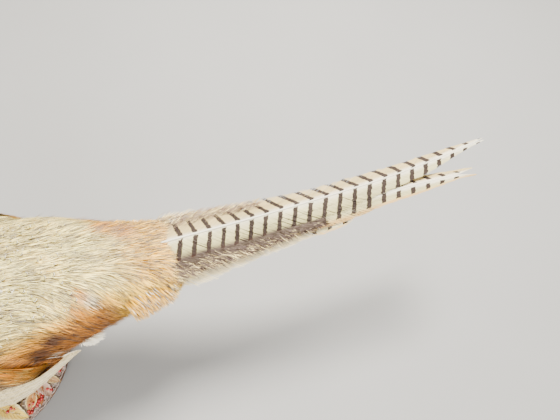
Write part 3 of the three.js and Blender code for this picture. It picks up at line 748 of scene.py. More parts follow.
for side, tag in SIDES:
    def wanted_above(points, normals, side=side):
        forward, left, _ = (points - ORIGIN).T
        here = (left * side > 0) * within(forward, -0.002, 0.24)
        return here * loose(points, normals) * (1 - ramp(-normals[:, 2], 0.3, 0.6))

    strands(f"rump_plumes_{tag}", "pale_plumage", 136000, wanted_above, clump=8, width=(0.0004, 0.0009),
            stiff=0.75)


def wanted_streaks(points, normals):
    forward = points[:, 0] - ORIGIN[0]
    return loose(points, normals) * within(forward, 0.004, 0.23) * (normals[:, 2] > -0.35)


def wanted_fringe(points, normals):
    """Along the lower border of the rump's plumage, where its ends hang free."""
    forward, left, height = (points - ORIGIN).T
    out = np.abs(left)
    rear = within(forward, 0.002, 0.11) * (out > 0.036) * (np.abs(normals[:, 2]) < 0.55)
    over_wing = within(forward, 0.11, 0.215) * within(height, -0.070, -0.012) * (out > 0.05)
    return np.maximum(rear * 0.7, over_wing)


def wanted_below(points, normals):
    low = ramp(ORIGIN[2] - points[:, 2], 0.095, 0.105)
    return loose(points, normals) * ramp(-normals[:, 2], 0.3, 0.6) + low


strands("rump_streaks", "pale_plumage", 30000, wanted_streaks, clump=3, spread=0.0008,
        length=(0.014, 0.030), width=(0.0008, 0.0015), rise=0.13, stiff=0.5, extremes=True)
strands("flank_fringe", "pale_plumage", 60000, wanted_fringe, clump=5, spread=0.0016,
        length=(0.014, 0.026), width=(0.0005, 0.0011), rise=0.26, stiff=1.0, sway=0.28)
strands("belly_plumes", "body_plumage", 50000, wanted_below, spread=0.003, rise=0.07)


def bare(points):
    """1 on the bare skin of the face and round the bill, where no feathers grow."""
    forward, left, height = ((points - ORIGIN) * 1000).T
    cheek = np.hypot((forward - 345) / 15.5, (height - 211) / 19.5) < 1
    return np.maximum(cheek * (height > 188) * (np.abs(left) > 5), (forward > 367) * (height > 180))


def scaly(points, normals):
    return ((1 - loose(points, normals)) > 0.2) * (1 - bare(points))


def spacing_of(points):
    """Feathers stand closer on the neck and the head than on the wings."""
    forward, _, height = (points - ORIGIN).T
    base = 0.0056 - 0.0022 * ramp(-forward, -0.21, -0.15)
    base = base - (base - 0.0034) * ramp(neck_reach(points), 0.06, 0.12)
    return base - (base - 0.0020) * ramp(height, 0.185, 0.205)


places, normals, pick = scatter(160000, scaly)
spacing = spacing_of(places)
kept = spaced(places, spacing)
roots, spacing = (places[kept], normals[kept], pick[kept]), spacing[kept]
long = spacing * 3.4 * dice.uniform(0.9, 1.15, len(kept))
wide = spacing * 2.0 * dice.uniform(0.85, 1.1, len(kept))
feathers("contour_feathers", "body_plumage", roots, long, wide, SCALE, contour.material, rise=0.14)


# small covert feathers still show among the loose plumes of the back, each with a pale rim
def wanted_hooks(points, normals):
    forward, left, _ = (points - ORIGIN).T
    there = within(forward, 0.10, 0.20) * within(left, -0.05, 0.055) * (normals[:, 2] > 0.5)
    return there * (0.3 + 0.7 * ramp(forward, 0.10, 0.15))


roots, normals, pick = scatter(26000, wanted_hooks)
size = 0.0050 * dice.uniform(0.6, 1.2, len(roots))
kept = spaced(roots, size * dice.uniform(0.9, 2.4, len(roots)))
roots, normals, pick, size = roots[kept], normals[kept], pick[kept], size[kept]
count = len(roots)
still = np.zeros(count)
lines, ups, ways = follow(roots, normals, size, dice.normal(0, 0.4, count), 4, still + 0.55, 0.0042, still)
tint = (plumage(roots, normals)[0] * 0.97, DOWN_WHITE, 1.0, 0.0)
vanes("back_covert_tips", "pale_plumage", lines, ups, size * dice.uniform(0.55, 0.9, count), SCALE,
      contour.material, pick, tint, ways, lot=dice.uniform(0.5, 1, count), cup=0.45)


def barbs_over(name, slot, lines, ups, widths, pick, ground, border=None, **more):
    """Single barbs over lines of their own."""
    tint = (ground, ground if border is None else border, 0.0, 0.0)
    vanes(name, slot, lines, ups, widths, STRAND, strand.material, pick, tint, cup=0.0, **more)


# the lower border of the rump hangs free over the root of the tail, white at the tips
t = np.linspace(0, 1, 5)[None, :, None]
for (side, tag), count, longer in zip(SIDES, (26000, 14000), (1.0, 0.5)):
    def wanted_border(points, normals, side=side):
        forward, left, _ = (points - ORIGIN).T
        edge = (left * side > 0.032) * within(forward, 0.0, 0.058) * (np.abs(normals[:, 2]) < 0.7)
        return edge * 14.0 * (1 - ramp(forward, 0.04, 0.058))

    roots, normals, pick = scatter(count * 8, wanted_border)
    count = len(roots)
    outward = ramp(roots[:, 0] - ORIGIN[0], -0.002, 0.016)
    aim = np.stack([-0.78 + 0.23 * outward, side * (0.60 + 0.19 * outward), -0.22 - 0.05 * outward], 1)
    aim = unit(aim + dice.normal(0, 0.13, (count, 3)))
    long = (dice.uniform(0.5, 1, count) * (0.010 + 0.009 * outward))[:, None, None] * longer
    lines = roots[:, None] + normals[:, None] * 0.001 + aim[:, None] * long * t
    lines[:, :, 2] -= 0.004 * t[:, :, 0] ** 2
    ups = np.repeat(unit(normals + np.array([0.0, 0.0, 0.5]))[:, None], 5, 1)
    ground = blend(ROOT_YELLOW, CREAM, np.clip(0.8 - outward + 0.3 * dice.random(count), 0, 1))
    ground = blend(ground, DOWN_WHITE, (dice.random(count) < 0.16) * 0.9)
    # about one strand in six gets lot 0 and turns dark: painted shade in the gaps of the fringe
    lot = np.where(dice.random(count) < 0.16, 0.0, dice.uniform(0.25, 1, count))
    barbs_over(f"rump_fringe_{tag}", "pale_plumage", lines, ups, dice.uniform(0.0006, 0.0012, count), pick,
               ground, DOWN_WHITE, lot=lot)

# a round tuft of white down hangs from the flank behind each thigh
for side, tag in SIDES:
    count = 3000
    roots = np.array([128, 54 * side, -77]) + dice.normal(0, 1.5, (count, 3))
    aim = unit(np.array([-0.10, 0.22 * side, -1.0]) + dice.normal(0, 0.21, (count, 3)))
    long = dice.uniform(25, 31, count)[:, None, None] - 26 * (np.abs(aim[:, 1:2, None]) - 0.12).clip(0)
    bent = np.array([-1, side * 0.4, 0]) * 3.5 * t ** 2
    lines = ORIGIN + (roots[:, None] + aim[:, None] * long * t + bent) * 0.001
    lines[:, 0], _, pick = on_skin(lines[:, 0])
    ups = np.broadcast_to(unit(np.array([-0.5, side * 0.8, 0.2])), lines.shape)
    barbs_over(f"flank_down_{tag}", "pale_plumage", lines, ups, dice.uniform(0.0008, 0.0014, count), pick,
               DOWN_WHITE, lot=dice.uniform(0.5, 1, count))

# the skin wears the plumage's own colours, darker, as they are at the roots of the feathers
skin_ground = plumage(points, read(skin_mesh.vertex_normals, "vector", 3))[0]
rgba = np.column_stack([skin_ground, np.ones(len(skin_ground))])
skin_mesh.attributes.new("ground", "FLOAT_COLOR", "POINT").data.foreach_set("color", rgba.ravel())
hide = Shade("skin", Roughness=0.85)
skin_grain = hide.noise(hide.place(300.0), 2.0)
skin_dark = hide.mix(skin_grain, (0.30, 0.28, 0.26, 1), (0.55, 0.53, 0.50, 1))
hide.colour(hide.mix(1.0, hide.ink("ground"), skin_dark, "MULTIPLY"))
hide.bump(skin_grain, 0.0005)
skin_mesh.materials.append(hide.material)

# ---- wings ----
# Each wing is folded against the side: scaly coverts at the wrist, a row of greater coverts,
# the secondaries over one another like slats, and the long primaries showing below them.
# large wing feathers: mottled sandy brown, waved with dark bars, pale along the edge and the quill
flight = Shade("flight_feather", Roughness=0.6, Specular_IOR_Level=0.2)
flight_out, flight_up = flight.vane()
flight_down = flight.times(flight_up, flight.attribute("span"))
flight_slant = flight.times(flight_out, -0.006, flight_down)
flight_wave = flight.noise(flight.place(130.0), 1.0, 3.0)
bar_run = flight.times(flight_slant, 620.0, flight.times(flight_wave, 5.0))
bar_share = flight.step(flight.math("SINE", bar_run), -0.1, 0.7)
bar_share = flight.times(bar_share, flight.attribute("marks"))
mottle = flight.noise(flight.place(900.0), 1.0, 2.0)
flight_ground = flight.ink("ground")
flight_paint = flight.mix(flight.step(mottle, 0.45, 0.62), flight_ground, (0.20, 0.14, 0.085, 1))
flight_paint = flight.mix(0.55, flight_ground, flight_paint)
flight_paint = flight.mix(bar_share, flight_paint, (0.10, 0.065, 0.04, 1))
edge_wave = flight.times(flight_wave, 0.25, flight_out)
flight_paint = flight.mix(flight.step(edge_wave, 0.93, 1.02), flight_paint, flight.ink("border"))
flight_barbs = flight.math("SINE", flight.times(flight_slant, 6000.0))
flight_paint = flight.mix(flight.times(flight_barbs, 0.05, 0.05), flight_paint, (0, 0, 0, 1))
root_end = flight.step(flight_down, 0.0, 0.12)
quill_paint = flight.mix(root_end, (0.34, 0.25, 0.15, 1), flight.ink("border"))
flight.colour(flight.mix(flight.step(flight_out, 0.09, 0.05), flight_paint, quill_paint))
flight_ridge = flight.math("ADD", flight.times(flight_barbs, 0.12), flight.step(flight_out, 0.14, 0.02))
flight.bump(flight_ridge, 0.0004, 0.6)
LONG = (
    (0, 0.12, 0.25, 0.4, 0.55, 0.7, 0.8, 0.88, 0.94, 0.98, 1),
    (0.5, 0.8, 0.95, 1.0, 1.0, 0.98, 0.92, 0.8, 0.6, 0.36, 0.1),
    (-1, -0.5, -0.08, 0.08, 0.5, 1),
)
PRIMARY_FRONT = 290
primary_lines = {
    "upper_left": smooth([(0, 74), (0.3, 92), (0.65, 95), (1, 79)]),
    "lower_left": smooth([(0, 73), (0.25, 101), (0.5, 111), (0.8, 98), (1, 82)]),
    "upper_height": smooth([(0, -42), (0.4, -48), (1, -50)]),
    "lower_height": smooth([(0, -50), (0.25, -78), (0.6, -87), (1, -76)]),
}


def wing_place(u, v, lift):
    """A point over the left wing, in millimetres: u from the wrist back, v from its top down."""
    forward = WING_WRIST + (WING_REAR - WING_WRIST) * u
    angle = wing_top(u) + (wing_bottom(u) - wing_top(u)) * v
    off = 1.6 + lift + wing_bulge(u) * np.sin(np.pi * np.clip(0.08 + 0.84 * v, 0.02, 0.98)) ** 0.6
    high, low = back_line(forward), belly_line(forward)
    left = (flank_line(forward) + off) * power(np.cos(angle), 1 / BODY_ROUND)
    height = (high + low) / 2 + ((high - low) / 2 + off) * power(np.sin(angle), 1 / BODY_ROUND)
    return np.stack([forward, left, height], -1)


def primary_place(u, v, lift, rear):
    forward = PRIMARY_FRONT + (rear - PRIMARY_FRONT) * u
    left, height = (
        primary_lines["upper_" + key](u) * (1 - v) + primary_lines["lower_" + key](u) * v
        for key in ("left", "height")
    )
    return np.stack([forward, left + lift, height], -1)


def wing_row(name, lines, ups, widths, ground, border, marks, side, nodes=(), skew=0.0):
    """One row of large wing feathers, mirrored for the right wing."""
    flip = np.array([1.0, side, 1.0])
    lines = ORIGIN + lines * flip * 0.001
    pick = on_skin(lines[:, 0])[2]
    worn = 1 + dice.normal(0, 0.10, (len(lines), 1))
    tint = (ground * worn, border, marks, 0.0)
    vanes(name, "wing_plumage", lines, unit(ups * flip), widths * 0.001, LONG, flight.material, pick, tint,
          nodes=nodes, cup=0.2, skew=skew * side)


def folded_row(count, starts, ends, lifts, bow=0.0):
    """Lines over the wing from (u, v) to (u, v), each a pair for the top feather and the bottom one."""
    share = np.linspace(0, 1, count)[:, None] + dice.normal(0, 0.006, (count, 1))
    t = np.linspace(0, 1, 13)[None, :]
    (u0, v0), (u1, v1) = [
        [np.interp(share, [0, 1], pair) for pair in ends_of] for ends_of in (starts, ends)
    ]
    u = u0 + (u1 - u0) * t
    v = v0 + (v1 - v0) * t + bow * np.sin(np.pi * t)
    over = lifts[0] + (lifts[1] - lifts[0]) * t + 1.6 * (1 - share)
    place = wing_place(u, v, over)
    return place, wing_place(u, v, over + 1) - place


for side, tag in SIDES:
    # primaries: the lowest lies innermost, each higher one over it
    t = np.linspace(0, 1, 17)
    rears = np.array([122, 128, 134, 141, 149])
    drops = np.array([0.02, 0.24, 0.46, 0.66, 0.84])
    lines = np.stack([
        primary_place(t, drop + 0.03 * t, 2.4 - 0.55 * k, rear)
        for k, (drop, rear) in enumerate(zip(drops, rears))
    ])
    wing_row(f"primary_feathers_{tag}", lines, np.array([0.0, 1.0, 0.12]) + 0 * lines, np.full(5, 17.0),
             tone(248, 228, 172), tone(250, 240, 212), 0.2, side, (f"primaries_{tag}",), skew=0.45)

    # secondaries, broad and blunt, the upper over the lower
    starts, ends = ((0.34, 0.46), (0.10, 0.80)), ((0.80, 0.93), (0.28, 0.96))
    lines, ups = folded_row(9, starts, ends, (0.6, -3.4), -0.04)
    ground = blend(SANDY, tone(150, 112, 78), np.linspace(0.1, 0.6, 9))
    wing_row(f"secondary_feathers_{tag}", lines, ups, np.linspace(24, 17, 9), ground, tone(200, 172, 130),
             0.75, side, skew=0.2)

    # greater coverts across the roots of the secondaries
    starts, ends = ((0.22, 0.34), (0.04, 0.93)), ((0.46, 0.60), (0.10, 1.0))
    lines, ups = folded_row(13, starts, ends, (1.2, 1.4))
    ground = blend(COVERT_CREAM, SANDY, np.linspace(0.1, 0.8, 13))
    wing_row(f"greater_coverts_{tag}", lines, ups, np.linspace(15, 12, 13), ground, tone(132, 70, 46),
             0.4, side)

    # the golden plumes of the flank lie over the rear of the wing
    count = 5200
    v = dice.uniform(0.05 if side > 0 else 0.34, 0.74, count)
    u = 0.72 + dice.random(count) * (0.22 - 0.30 * (v - 0.25).clip(0))
    t = np.linspace(0, 1, 5)[None, :]
    down = v[:, None] + dice.normal(0.07, 0.05, count)[:, None] * t
    over = (0.4 + 2.2 * t ** 0.7) * dice.uniform(0.7, 1.3, count)[:, None]
    back = np.minimum(u[:, None] + dice.uniform(0.07, 0.13, count)[:, None] * t, 0.98 + 0.03 * t)
    over = over * (1 - 0.8 * ramp(back, 0.84, 0.98))
    lines = wing_place(back, down, over)
    ups = wing_place(back, down, over + 1) - lines
    ground = blend(tone(238, 164, 56), RUST, dice.random(count) * 0.6)
    ground = blend(ground, CREAM, (dice.random(count) < 0.25) * 0.6)
    ground = blend(ground, tone(240, 226, 196), ramp(v + dice.normal(0, 0.08, count), 0.38, 0.62))
    flip = np.array([1.0, side, 1.0])
    lines = ORIGIN + lines * flip * 0.001
    _, _, pick = on_skin(lines[:, 0])
    # nearly one strand in five gets lot 0 and turns dark: painted shade in the gaps between the plumes
    lot = np.where(dice.random(count) < 0.18, 0.0, dice.uniform(0.15, 1, count))
    barbs_over(f"flank_overlay_{tag}", "pale_plumage", lines, unit(ups * flip),
               dice.uniform(0.0007, 0.0014, count), pick, ground, lot=lot)

# ---- head ----
# The bare parts of the head: glass eyes held by lids, red wattles grown over with small warts,
# a horn bill in two halves, and a tuft of longer feathers behind each ear.
crown_line = smooth([
    (312, 212), (317, 226), (326, 235), (338, 240), (350, 238.5), (360, 232), (366, 226), (370, 221),
])
chin_line = smooth([
    (312, 206), (317, 192), (326, 184), (338, 181), (350, 184), (360, 191), (366, 197), (370, 203),
])
cheek_line = smooth([
    (312, 3), (317, 11), (326, 16), (338, 18.5), (350, 16.5), (360, 11), (366, 8), (370, 4),
])
EYE = np.array([347.0, 13.1, 220.0])  # middle of the left glass eye, and its radius
EYE_RADIUS = 5.2


def lofts(name, slot, tubes, material, *nodes, closed=True):
    """Skins over rings of points, in millimetres from the tail root, joined in one piece."""
    places, faces, uvs, values = [], [], [], []
    offset = 0
    for number, (rings, value) in enumerate(tubes):
        rings = np.asarray(rings, float)
        count, around = rings.shape[:2]
        places.append(rings.reshape(-1, 3))
        values.append(np.broadcast_to(value, (count, around)).ravel())
        faces += (grid_quads(count, around, closed=True) + offset).tolist()
        i, j = np.meshgrid(np.arange(count - 1), np.arange(around), indexing="ij")
        u = np.stack([j, j + 1, j + 1, j], -1) / around
        v = (number + np.stack([i, i, i + 1, i + 1], -1) / count) / len(tubes)
        uvs.append(np.stack([u, v], -1).reshape(-1, 2))
        for first in (0, (count - 1) * around) if closed else ():
            faces.append([offset + first + k for k in range(around)])
            uvs.append(np.full((around, 2), 0.5 / len(tubes)))
        offset += count * around
    mesh = bpy.data.meshes.new(name)
    mesh.from_pydata((ORIGIN + np.concatenate(places) * 0.001).tolist(), [], faces)
    mesh.uv_layers.new(name="OFBake").data.foreach_set("uv", np.concatenate(uvs).ravel())
    mesh.attributes.new("value", "FLOAT", "POINT").data.foreach_set("value", np.concatenate(values))
    outward = bmesh.new()
    outward.from_mesh(mesh)
    bmesh.ops.recalc_face_normals(outward, faces=outward.faces)
    outward.to_mesh(mesh)
    outward.free()
    mesh.polygons.foreach_set("use_smooth", np.ones(len(mesh.polygons), bool))
    fixed(link(name, mesh, material), slot, *nodes)


def rounds(low, high, count, around, start=0.0):
    """Two grids for a tube: a value that runs along it, and the angle round it."""
    angle = np.linspace(start, start + 2 * np.pi, around, endpoint=False)
    return np.meshgrid(np.linspace(low, high, count), angle, indexing="ij")


def bump_at(x, y, middle, size):
    return np.exp(-((x - middle[0]) / size[0]) ** 2 - ((y - middle[1]) / size[1]) ** 2)


# bill: pale horn, darker at the base, its surface grown in fine layers
horn = Shade("bill_horn_grown", Roughness=0.34, Coat_Weight=0.2, Coat_Roughness=0.25)
horn_layers = horn.noise(horn.place(240.0, (0.35, 1.0, 1.0)), 1.0, 4.0)
from_tip = horn.step(horn.parts(horn.place())["X"], 0.046, 0.064)
horn_tone = horn.mix(from_tip, (0.30, 0.25, 0.15, 1), (0.66, 0.60, 0.42, 1))
horn_tone = horn.mix(horn.step(horn_layers, 0.40, 0.70, 0.0, 0.45), horn_tone, (0.24, 0.20, 0.12, 1))
# near black where the value is high, at the nostril: painted shade in its opening
horn.colour(horn.mix(horn.step(horn.attribute("value"), 0.2, 0.8), horn_tone, (0.03, 0.022, 0.015, 1)))
horn.bump(horn_layers, 0.0003, 0.4)
BILL_ROOT, UPPER_LENGTH, LOWER_LENGTH = 363, 31, 26
BITE = smooth([(0, 212.4), (0.5, 211), (0.8, 208.4), (1, 204.5)])
around = np.linspace(0, 2 * np.pi, 40, endpoint=False)[None, :]
t = np.linspace(-0.10, 1, 46)[:, None]
culmen = smooth([(0, 223), (0.4, 221), (0.75, 215.5), (1, 206)])
half_wide = smooth([(0, 6.8), (0.4, 5.2), (0.85, 2.6), (1, 0.6)])(t)
high, low = culmen(t) - 18 * np.minimum(t, 0), BITE(t)
forward = BILL_ROOT + UPPER_LENGTH * t + 0 * around
keel = power(np.sin(around), np.where(np.sin(around) > 0, 0.9, 1.6))
height = (high + low) / 2 + (high - low) / 2 * keel
left = half_wide * power(np.cos(around), 0.85)
from_bite = (height - low) / np.maximum(high - low, 1)
nostril = bump_at(t, from_bite, (0.17, 0.50), (0.10, 0.10))
flap = bump_at(t, from_bite, (0.15, 0.66), (0.16, 0.13))
left += np.sign(left) * (1.0 * flap - 1.5 * nostril) * (np.abs(left) > 2)
height -= 0.5 * (np.abs(np.sin(around)) < 0.25) * (t > 0.1)  # the cutting edge laps over the lower half
# the nostril's value darkens the horn there to near black: painted shade in the opening
upper = (np.stack([forward, left, height], -1), nostril * 1.1)
t = np.linspace(-0.10, 1, 36)[:, None]
high = BITE(np.clip(t, 0, 1) * LOWER_LENGTH / UPPER_LENGTH) - 0.2
low = smooth([(0, 204.2), (0.5, 204.6), (0.85, 205.4), (1, 206)])(t)
half_wide = smooth([(0, 6.2), (0.4, 4.6), (0.85, 2.3), (1, 0.5)])(t)
height = (high + low) / 2 + (high - low) / 2 * np.sin(around)
forward = BILL_ROOT + LOWER_LENGTH * t + 0 * around
rings = np.stack([forward, half_wide * np.cos(around), height], -1)
lofts("bill_upper_half", "bill_horn", [upper], horn.material, "bill_upper")
lofts("bill_lower_half", "bill_horn", [(rings, 0.0)], horn.material, "bill_lower")

# glass eyes: a black pupil and a brown-orange iris under a clear dome
glass = Shade("glass_eye", Roughness=0.06, Coat_Weight=1.0, Coat_Roughness=0.02, IOR=1.5)
polar = glass.attribute("value")
fibres = glass.noise(glass.place(900.0), 1.0, 3.0)
iris = glass.mix(fibres, (0.30, 0.09, 0.012, 1), (0.62, 0.26, 0.05, 1))
iris = glass.mix(glass.step(polar, 0.62, 0.80), iris, (0.05, 0.02, 0.01, 1))
glass.colour(glass.mix(glass.step(polar, 0.37, 0.34), iris, (0.004, 0.004, 0.005, 1)))
lid_skin = Shade("eyelid", Roughness=0.5)
lid_grain = lid_skin.noise(lid_skin.place(1500.0), 1.0)
lid_skin.colour(lid_skin.mix(lid_grain, (0.10, 0.035, 0.03, 1), (0.26, 0.09, 0.07, 1)))
lid_skin.bump(lid_grain, 0.0002, 0.6)


def eye_place(polar, around, radius, side):
    """A point round the eye: angles from its axis and round it, distance from its middle."""
    axis = unit(np.array([0.20, side, 0.02]))
    up = np.array([0.0, 0.0, 1.0])
    front = np.cross(up, axis) * side
    sideways = np.cos(around)[..., None] * front + np.sin(around)[..., None] * up
    out = np.cos(polar)[..., None] * axis + np.sin(polar)[..., None] * sideways
    return EYE * np.array([1, side, 1]) + radius[..., None] * out


for side, tag in SIDES:
    polar_at, around = rounds(0.02, 2.6, 40, 40)
    dome = EYE_RADIUS + 0.35 * np.exp(-(polar_at / 0.6) ** 2)
    ball = eye_place(polar_at, around, dome, side)
    lofts(f"glass_eye_{tag}", "eye_glass", [(ball, polar_at)], glass.material, f"eye_{tag}")
    # lids: a rolled rim round the opening, a little drawn out to the corners
    rim, tube = rounds(0, 2 * np.pi, 65, 10)
    opening = 0.97 + 0.10 * np.cos(2 * rim) + 0.05 * np.sin(rim)
    roll = 0.75 + 0.10 * np.sin(11 * rim) + 0.08 * np.sin(23 * rim + 1)
    lid = eye_place(opening + roll / 5.3 * np.cos(tube), rim, EYE_RADIUS + 0.15 + roll * np.sin(tube), side)
    lofts(f"eyelid_{tag}", "face_skin", [(lid, 0.0)], lid_skin.material, closed=False)

# wattles: bare red skin round the eye and over the cheek, velvety with rows of small warts
velvet = Shade("wattle_skin", Roughness=0.62, Sheen_Weight=0.25)
wart_top = velvet.attribute("value")
velvet_grain = velvet.noise(velvet.place(1400.0), 1.0, 2.0)
wattle_red = velvet.mix(wart_top, (0.16, 0.006, 0.006, 1), (0.62, 0.035, 0.022, 1))
flecks = velvet.step(velvet.noise(velvet.place(620.0), 1.0, 0.0), 0.66, 0.70)
wattle_red = velvet.mix(velvet.times(velvet_grain, 0.35), wattle_red, (0.34, 0.02, 0.03, 1))
velvet.colour(velvet.mix(flecks, wattle_red, (0.012, 0.014, 0.012, 1)))
velvet.bump(velvet_grain, 0.0002, 0.5)
border_curves = [
    [(362, 216), (360, 226), (352, 232), (343, 231)], [(343, 231), (334, 230), (328, 222), (332, 213)],
    [(332, 213), (330, 204), (334, 192), (343, 190)], [(343, 190), (350, 189), (353, 198), (358, 203)],
    [(358, 203), (361, 207), (362, 211), (362, 216)],
]
s = np.linspace(0, 1, 30, endpoint=False)[:, None]
weights = np.stack([(1 - s) ** 3, 3 * (1 - s) ** 2 * s, 3 * (1 - s) * s ** 2, s ** 3])
outline = np.concatenate([(weights * np.array(ends)[:, None]).sum(0) for ends in border_curves])
WATTLE_MIDDLE = np.array([346.0, 211.0])
outline_angle = np.arctan2(*(outline - WATTLE_MIDDLE).T[::-1])
in_order = np.argsort(outline_angle)
wattle_angle = outline_angle[in_order]
wattle_reach = np.linalg.norm(outline - WATTLE_MIDDLE, axis=1)[in_order]


def head_side(forward, height, off, side):
    crown, chin = crown_line(forward), chin_line(forward)
    round_out = np.sqrt(np.clip(1 - ((2 * height - crown - chin) / (crown - chin)) ** 2, 0.01, 1))
    return np.stack([forward, side * (cheek_line(forward) * round_out + off), height], -1)


warts = dice.uniform((326, 186), (364, 234), (2600, 2))
taken = spaced(np.column_stack([warts, np.zeros(len(warts))]), np.full(len(warts), 1.15))
warts, sizes = warts[taken], dice.uniform(0.45, 0.95, len(taken))
reach, angle = rounds(0.01, 1.04, 84, 220, -np.pi)
edge = np.interp(angle, wattle_angle, wattle_reach, period=2 * np.pi)
forward = WATTLE_MIDDLE[0] + reach * edge * np.cos(angle)
height = WATTLE_MIDDLE[1] + reach * edge * np.sin(angle)
wart_height = np.zeros(forward.shape)
for (x, z), size in zip(warts, sizes):
    wart_height = np.maximum(wart_height, size * np.exp(-((forward - x) ** 2 + (height - z) ** 2) / 0.32))
from_eye = np.hypot(forward - EYE[0] - 1, height - EYE[2])
swell = 1.5 + 0.9 * np.exp(-((height - 197) / 7) ** 2) * (1 - reach ** 6)
off = swell * (1 - reach ** 8) + wart_height * (1 - reach ** 10) * ramp(from_eye, 5.2, 6.5)
off -= 0.5 * reach ** 8 + 4.5 * (1 - ramp(from_eye, 3.6, 5.2))
for side, tag in SIDES:
    rings = head_side(forward, height, off, side)
    lofts(f"wattle_skin_{tag}", "face_skin", [(rings, np.clip(wart_height * 1.5, 0, 1))], velvet.material,
          f"wattle_{tag}", closed=False)

# ear tufts: longer dark feathers that stand up behind each ear
t = np.linspace(0, 1, 9)[None, :, None]
for side, tag in SIDES:
    count = 34
    roots = head_side(dice.uniform(318, 330, count), dice.uniform(224, 232, count), -1.5, side)
    aim = unit(np.array([-0.80, 0.30 * side, 0.52]) + dice.normal(0, 0.10, (count, 3)))
    long = dice.uniform(11, 20, count)[:, None, None]
    lines = roots[:, None] + aim[:, None] * long * t + np.array([0, 0, 0.25]) * long * t ** 2
    lines = ORIGIN + lines * 0.001
    ups = np.broadcast_to(unit(np.array([0.45, side * 0.75, 0.5])), lines.shape)
    shades = blend(NECK_GREEN, NECK_BLUE, dice.random(count))
    vanes(f"ear_tuft_{tag}", "neck_plumage", lines, ups, dice.uniform(0.0022, 0.0034, count), SCALE,
          contour.material, on_skin(lines[:, 0])[2], (shades, shades * 1.5, 0.0, 0.8))

# ---- legs ----
# Bare legs and toes covered in horn scales: two columns of large plates down the front,
# fine ones behind, cross bands over the toes, and a spur behind each shank.
leg_skin = Shade("leg_scales", Roughness=0.46)
leg_cloud = leg_skin.noise(leg_skin.place(120.0), 1.0, 3.0)
leg_tone = leg_skin.mix(leg_skin.step(leg_cloud, 0.35, 0.7), (0.23, 0.20, 0.165, 1), (0.36, 0.32, 0.26, 1))
leg_skin.colour(leg_skin.mix(leg_skin.attribute("value"), (0.07, 0.055, 0.045, 1), leg_tone))
leg_skin.bump(leg_skin.noise(leg_skin.place(900.0), 1.0), 0.0002, 0.5)
claw_horn = Shade("claw_horn", Roughness=0.33)
claw_streak = claw_horn.noise(claw_horn.place(700.0, (0.3, 1, 1)), 1.0, 3.0)
claw_horn.colour(claw_horn.mix(claw_streak, (0.05, 0.04, 0.03, 1), (0.17, 0.13, 0.09, 1)))
claw_horn.bump(claw_streak, 0.0002, 0.5)
HOCK_TOP, FOOT_FLOOR = -124.0, -199.7
ANKLE = (247, 37)  # middle of the left foot, forward and to the left
TOES = (  # heading, length, thickness, length of the claw, and rise at the ankle
    (0.04, 50, 4.6, 12, 2), (0.52, 38, 4.2, 10, 2), (-0.5, 36, 4.2, 10, 2), (np.pi - 0.25, 16, 3.4, 7, 5),
)
shank_lines = [
    smooth(list(zip((0, 5, 14, 38, 64, 72), values)))
    for values in (
        (232, 232.5, 235, 240, 245, 247), (38, 37.8, 37.5, 37.2, 37, 37),
        (7.4, 7.6, 5.8, 4.7, 5.2, 5.6), (6.4, 6.6, 4.9, 4.0, 4.6, 5.2),
    )
]


def groove(value, pitch, wide):
    """0 in the grooves between plates, 1 on them."""
    return ramp(0.5 - np.abs(np.mod(value / pitch, 1) - 0.5), 0, wide)


def toe_place(turn, reach, aside, height):
    """A point of a toe that points turn from straight ahead."""
    forward = ANKLE[0] + reach * np.cos(turn) - aside * np.sin(turn)
    return np.stack([forward, ANKLE[1] + reach * np.sin(turn) + aside * np.cos(turn), height], -1)


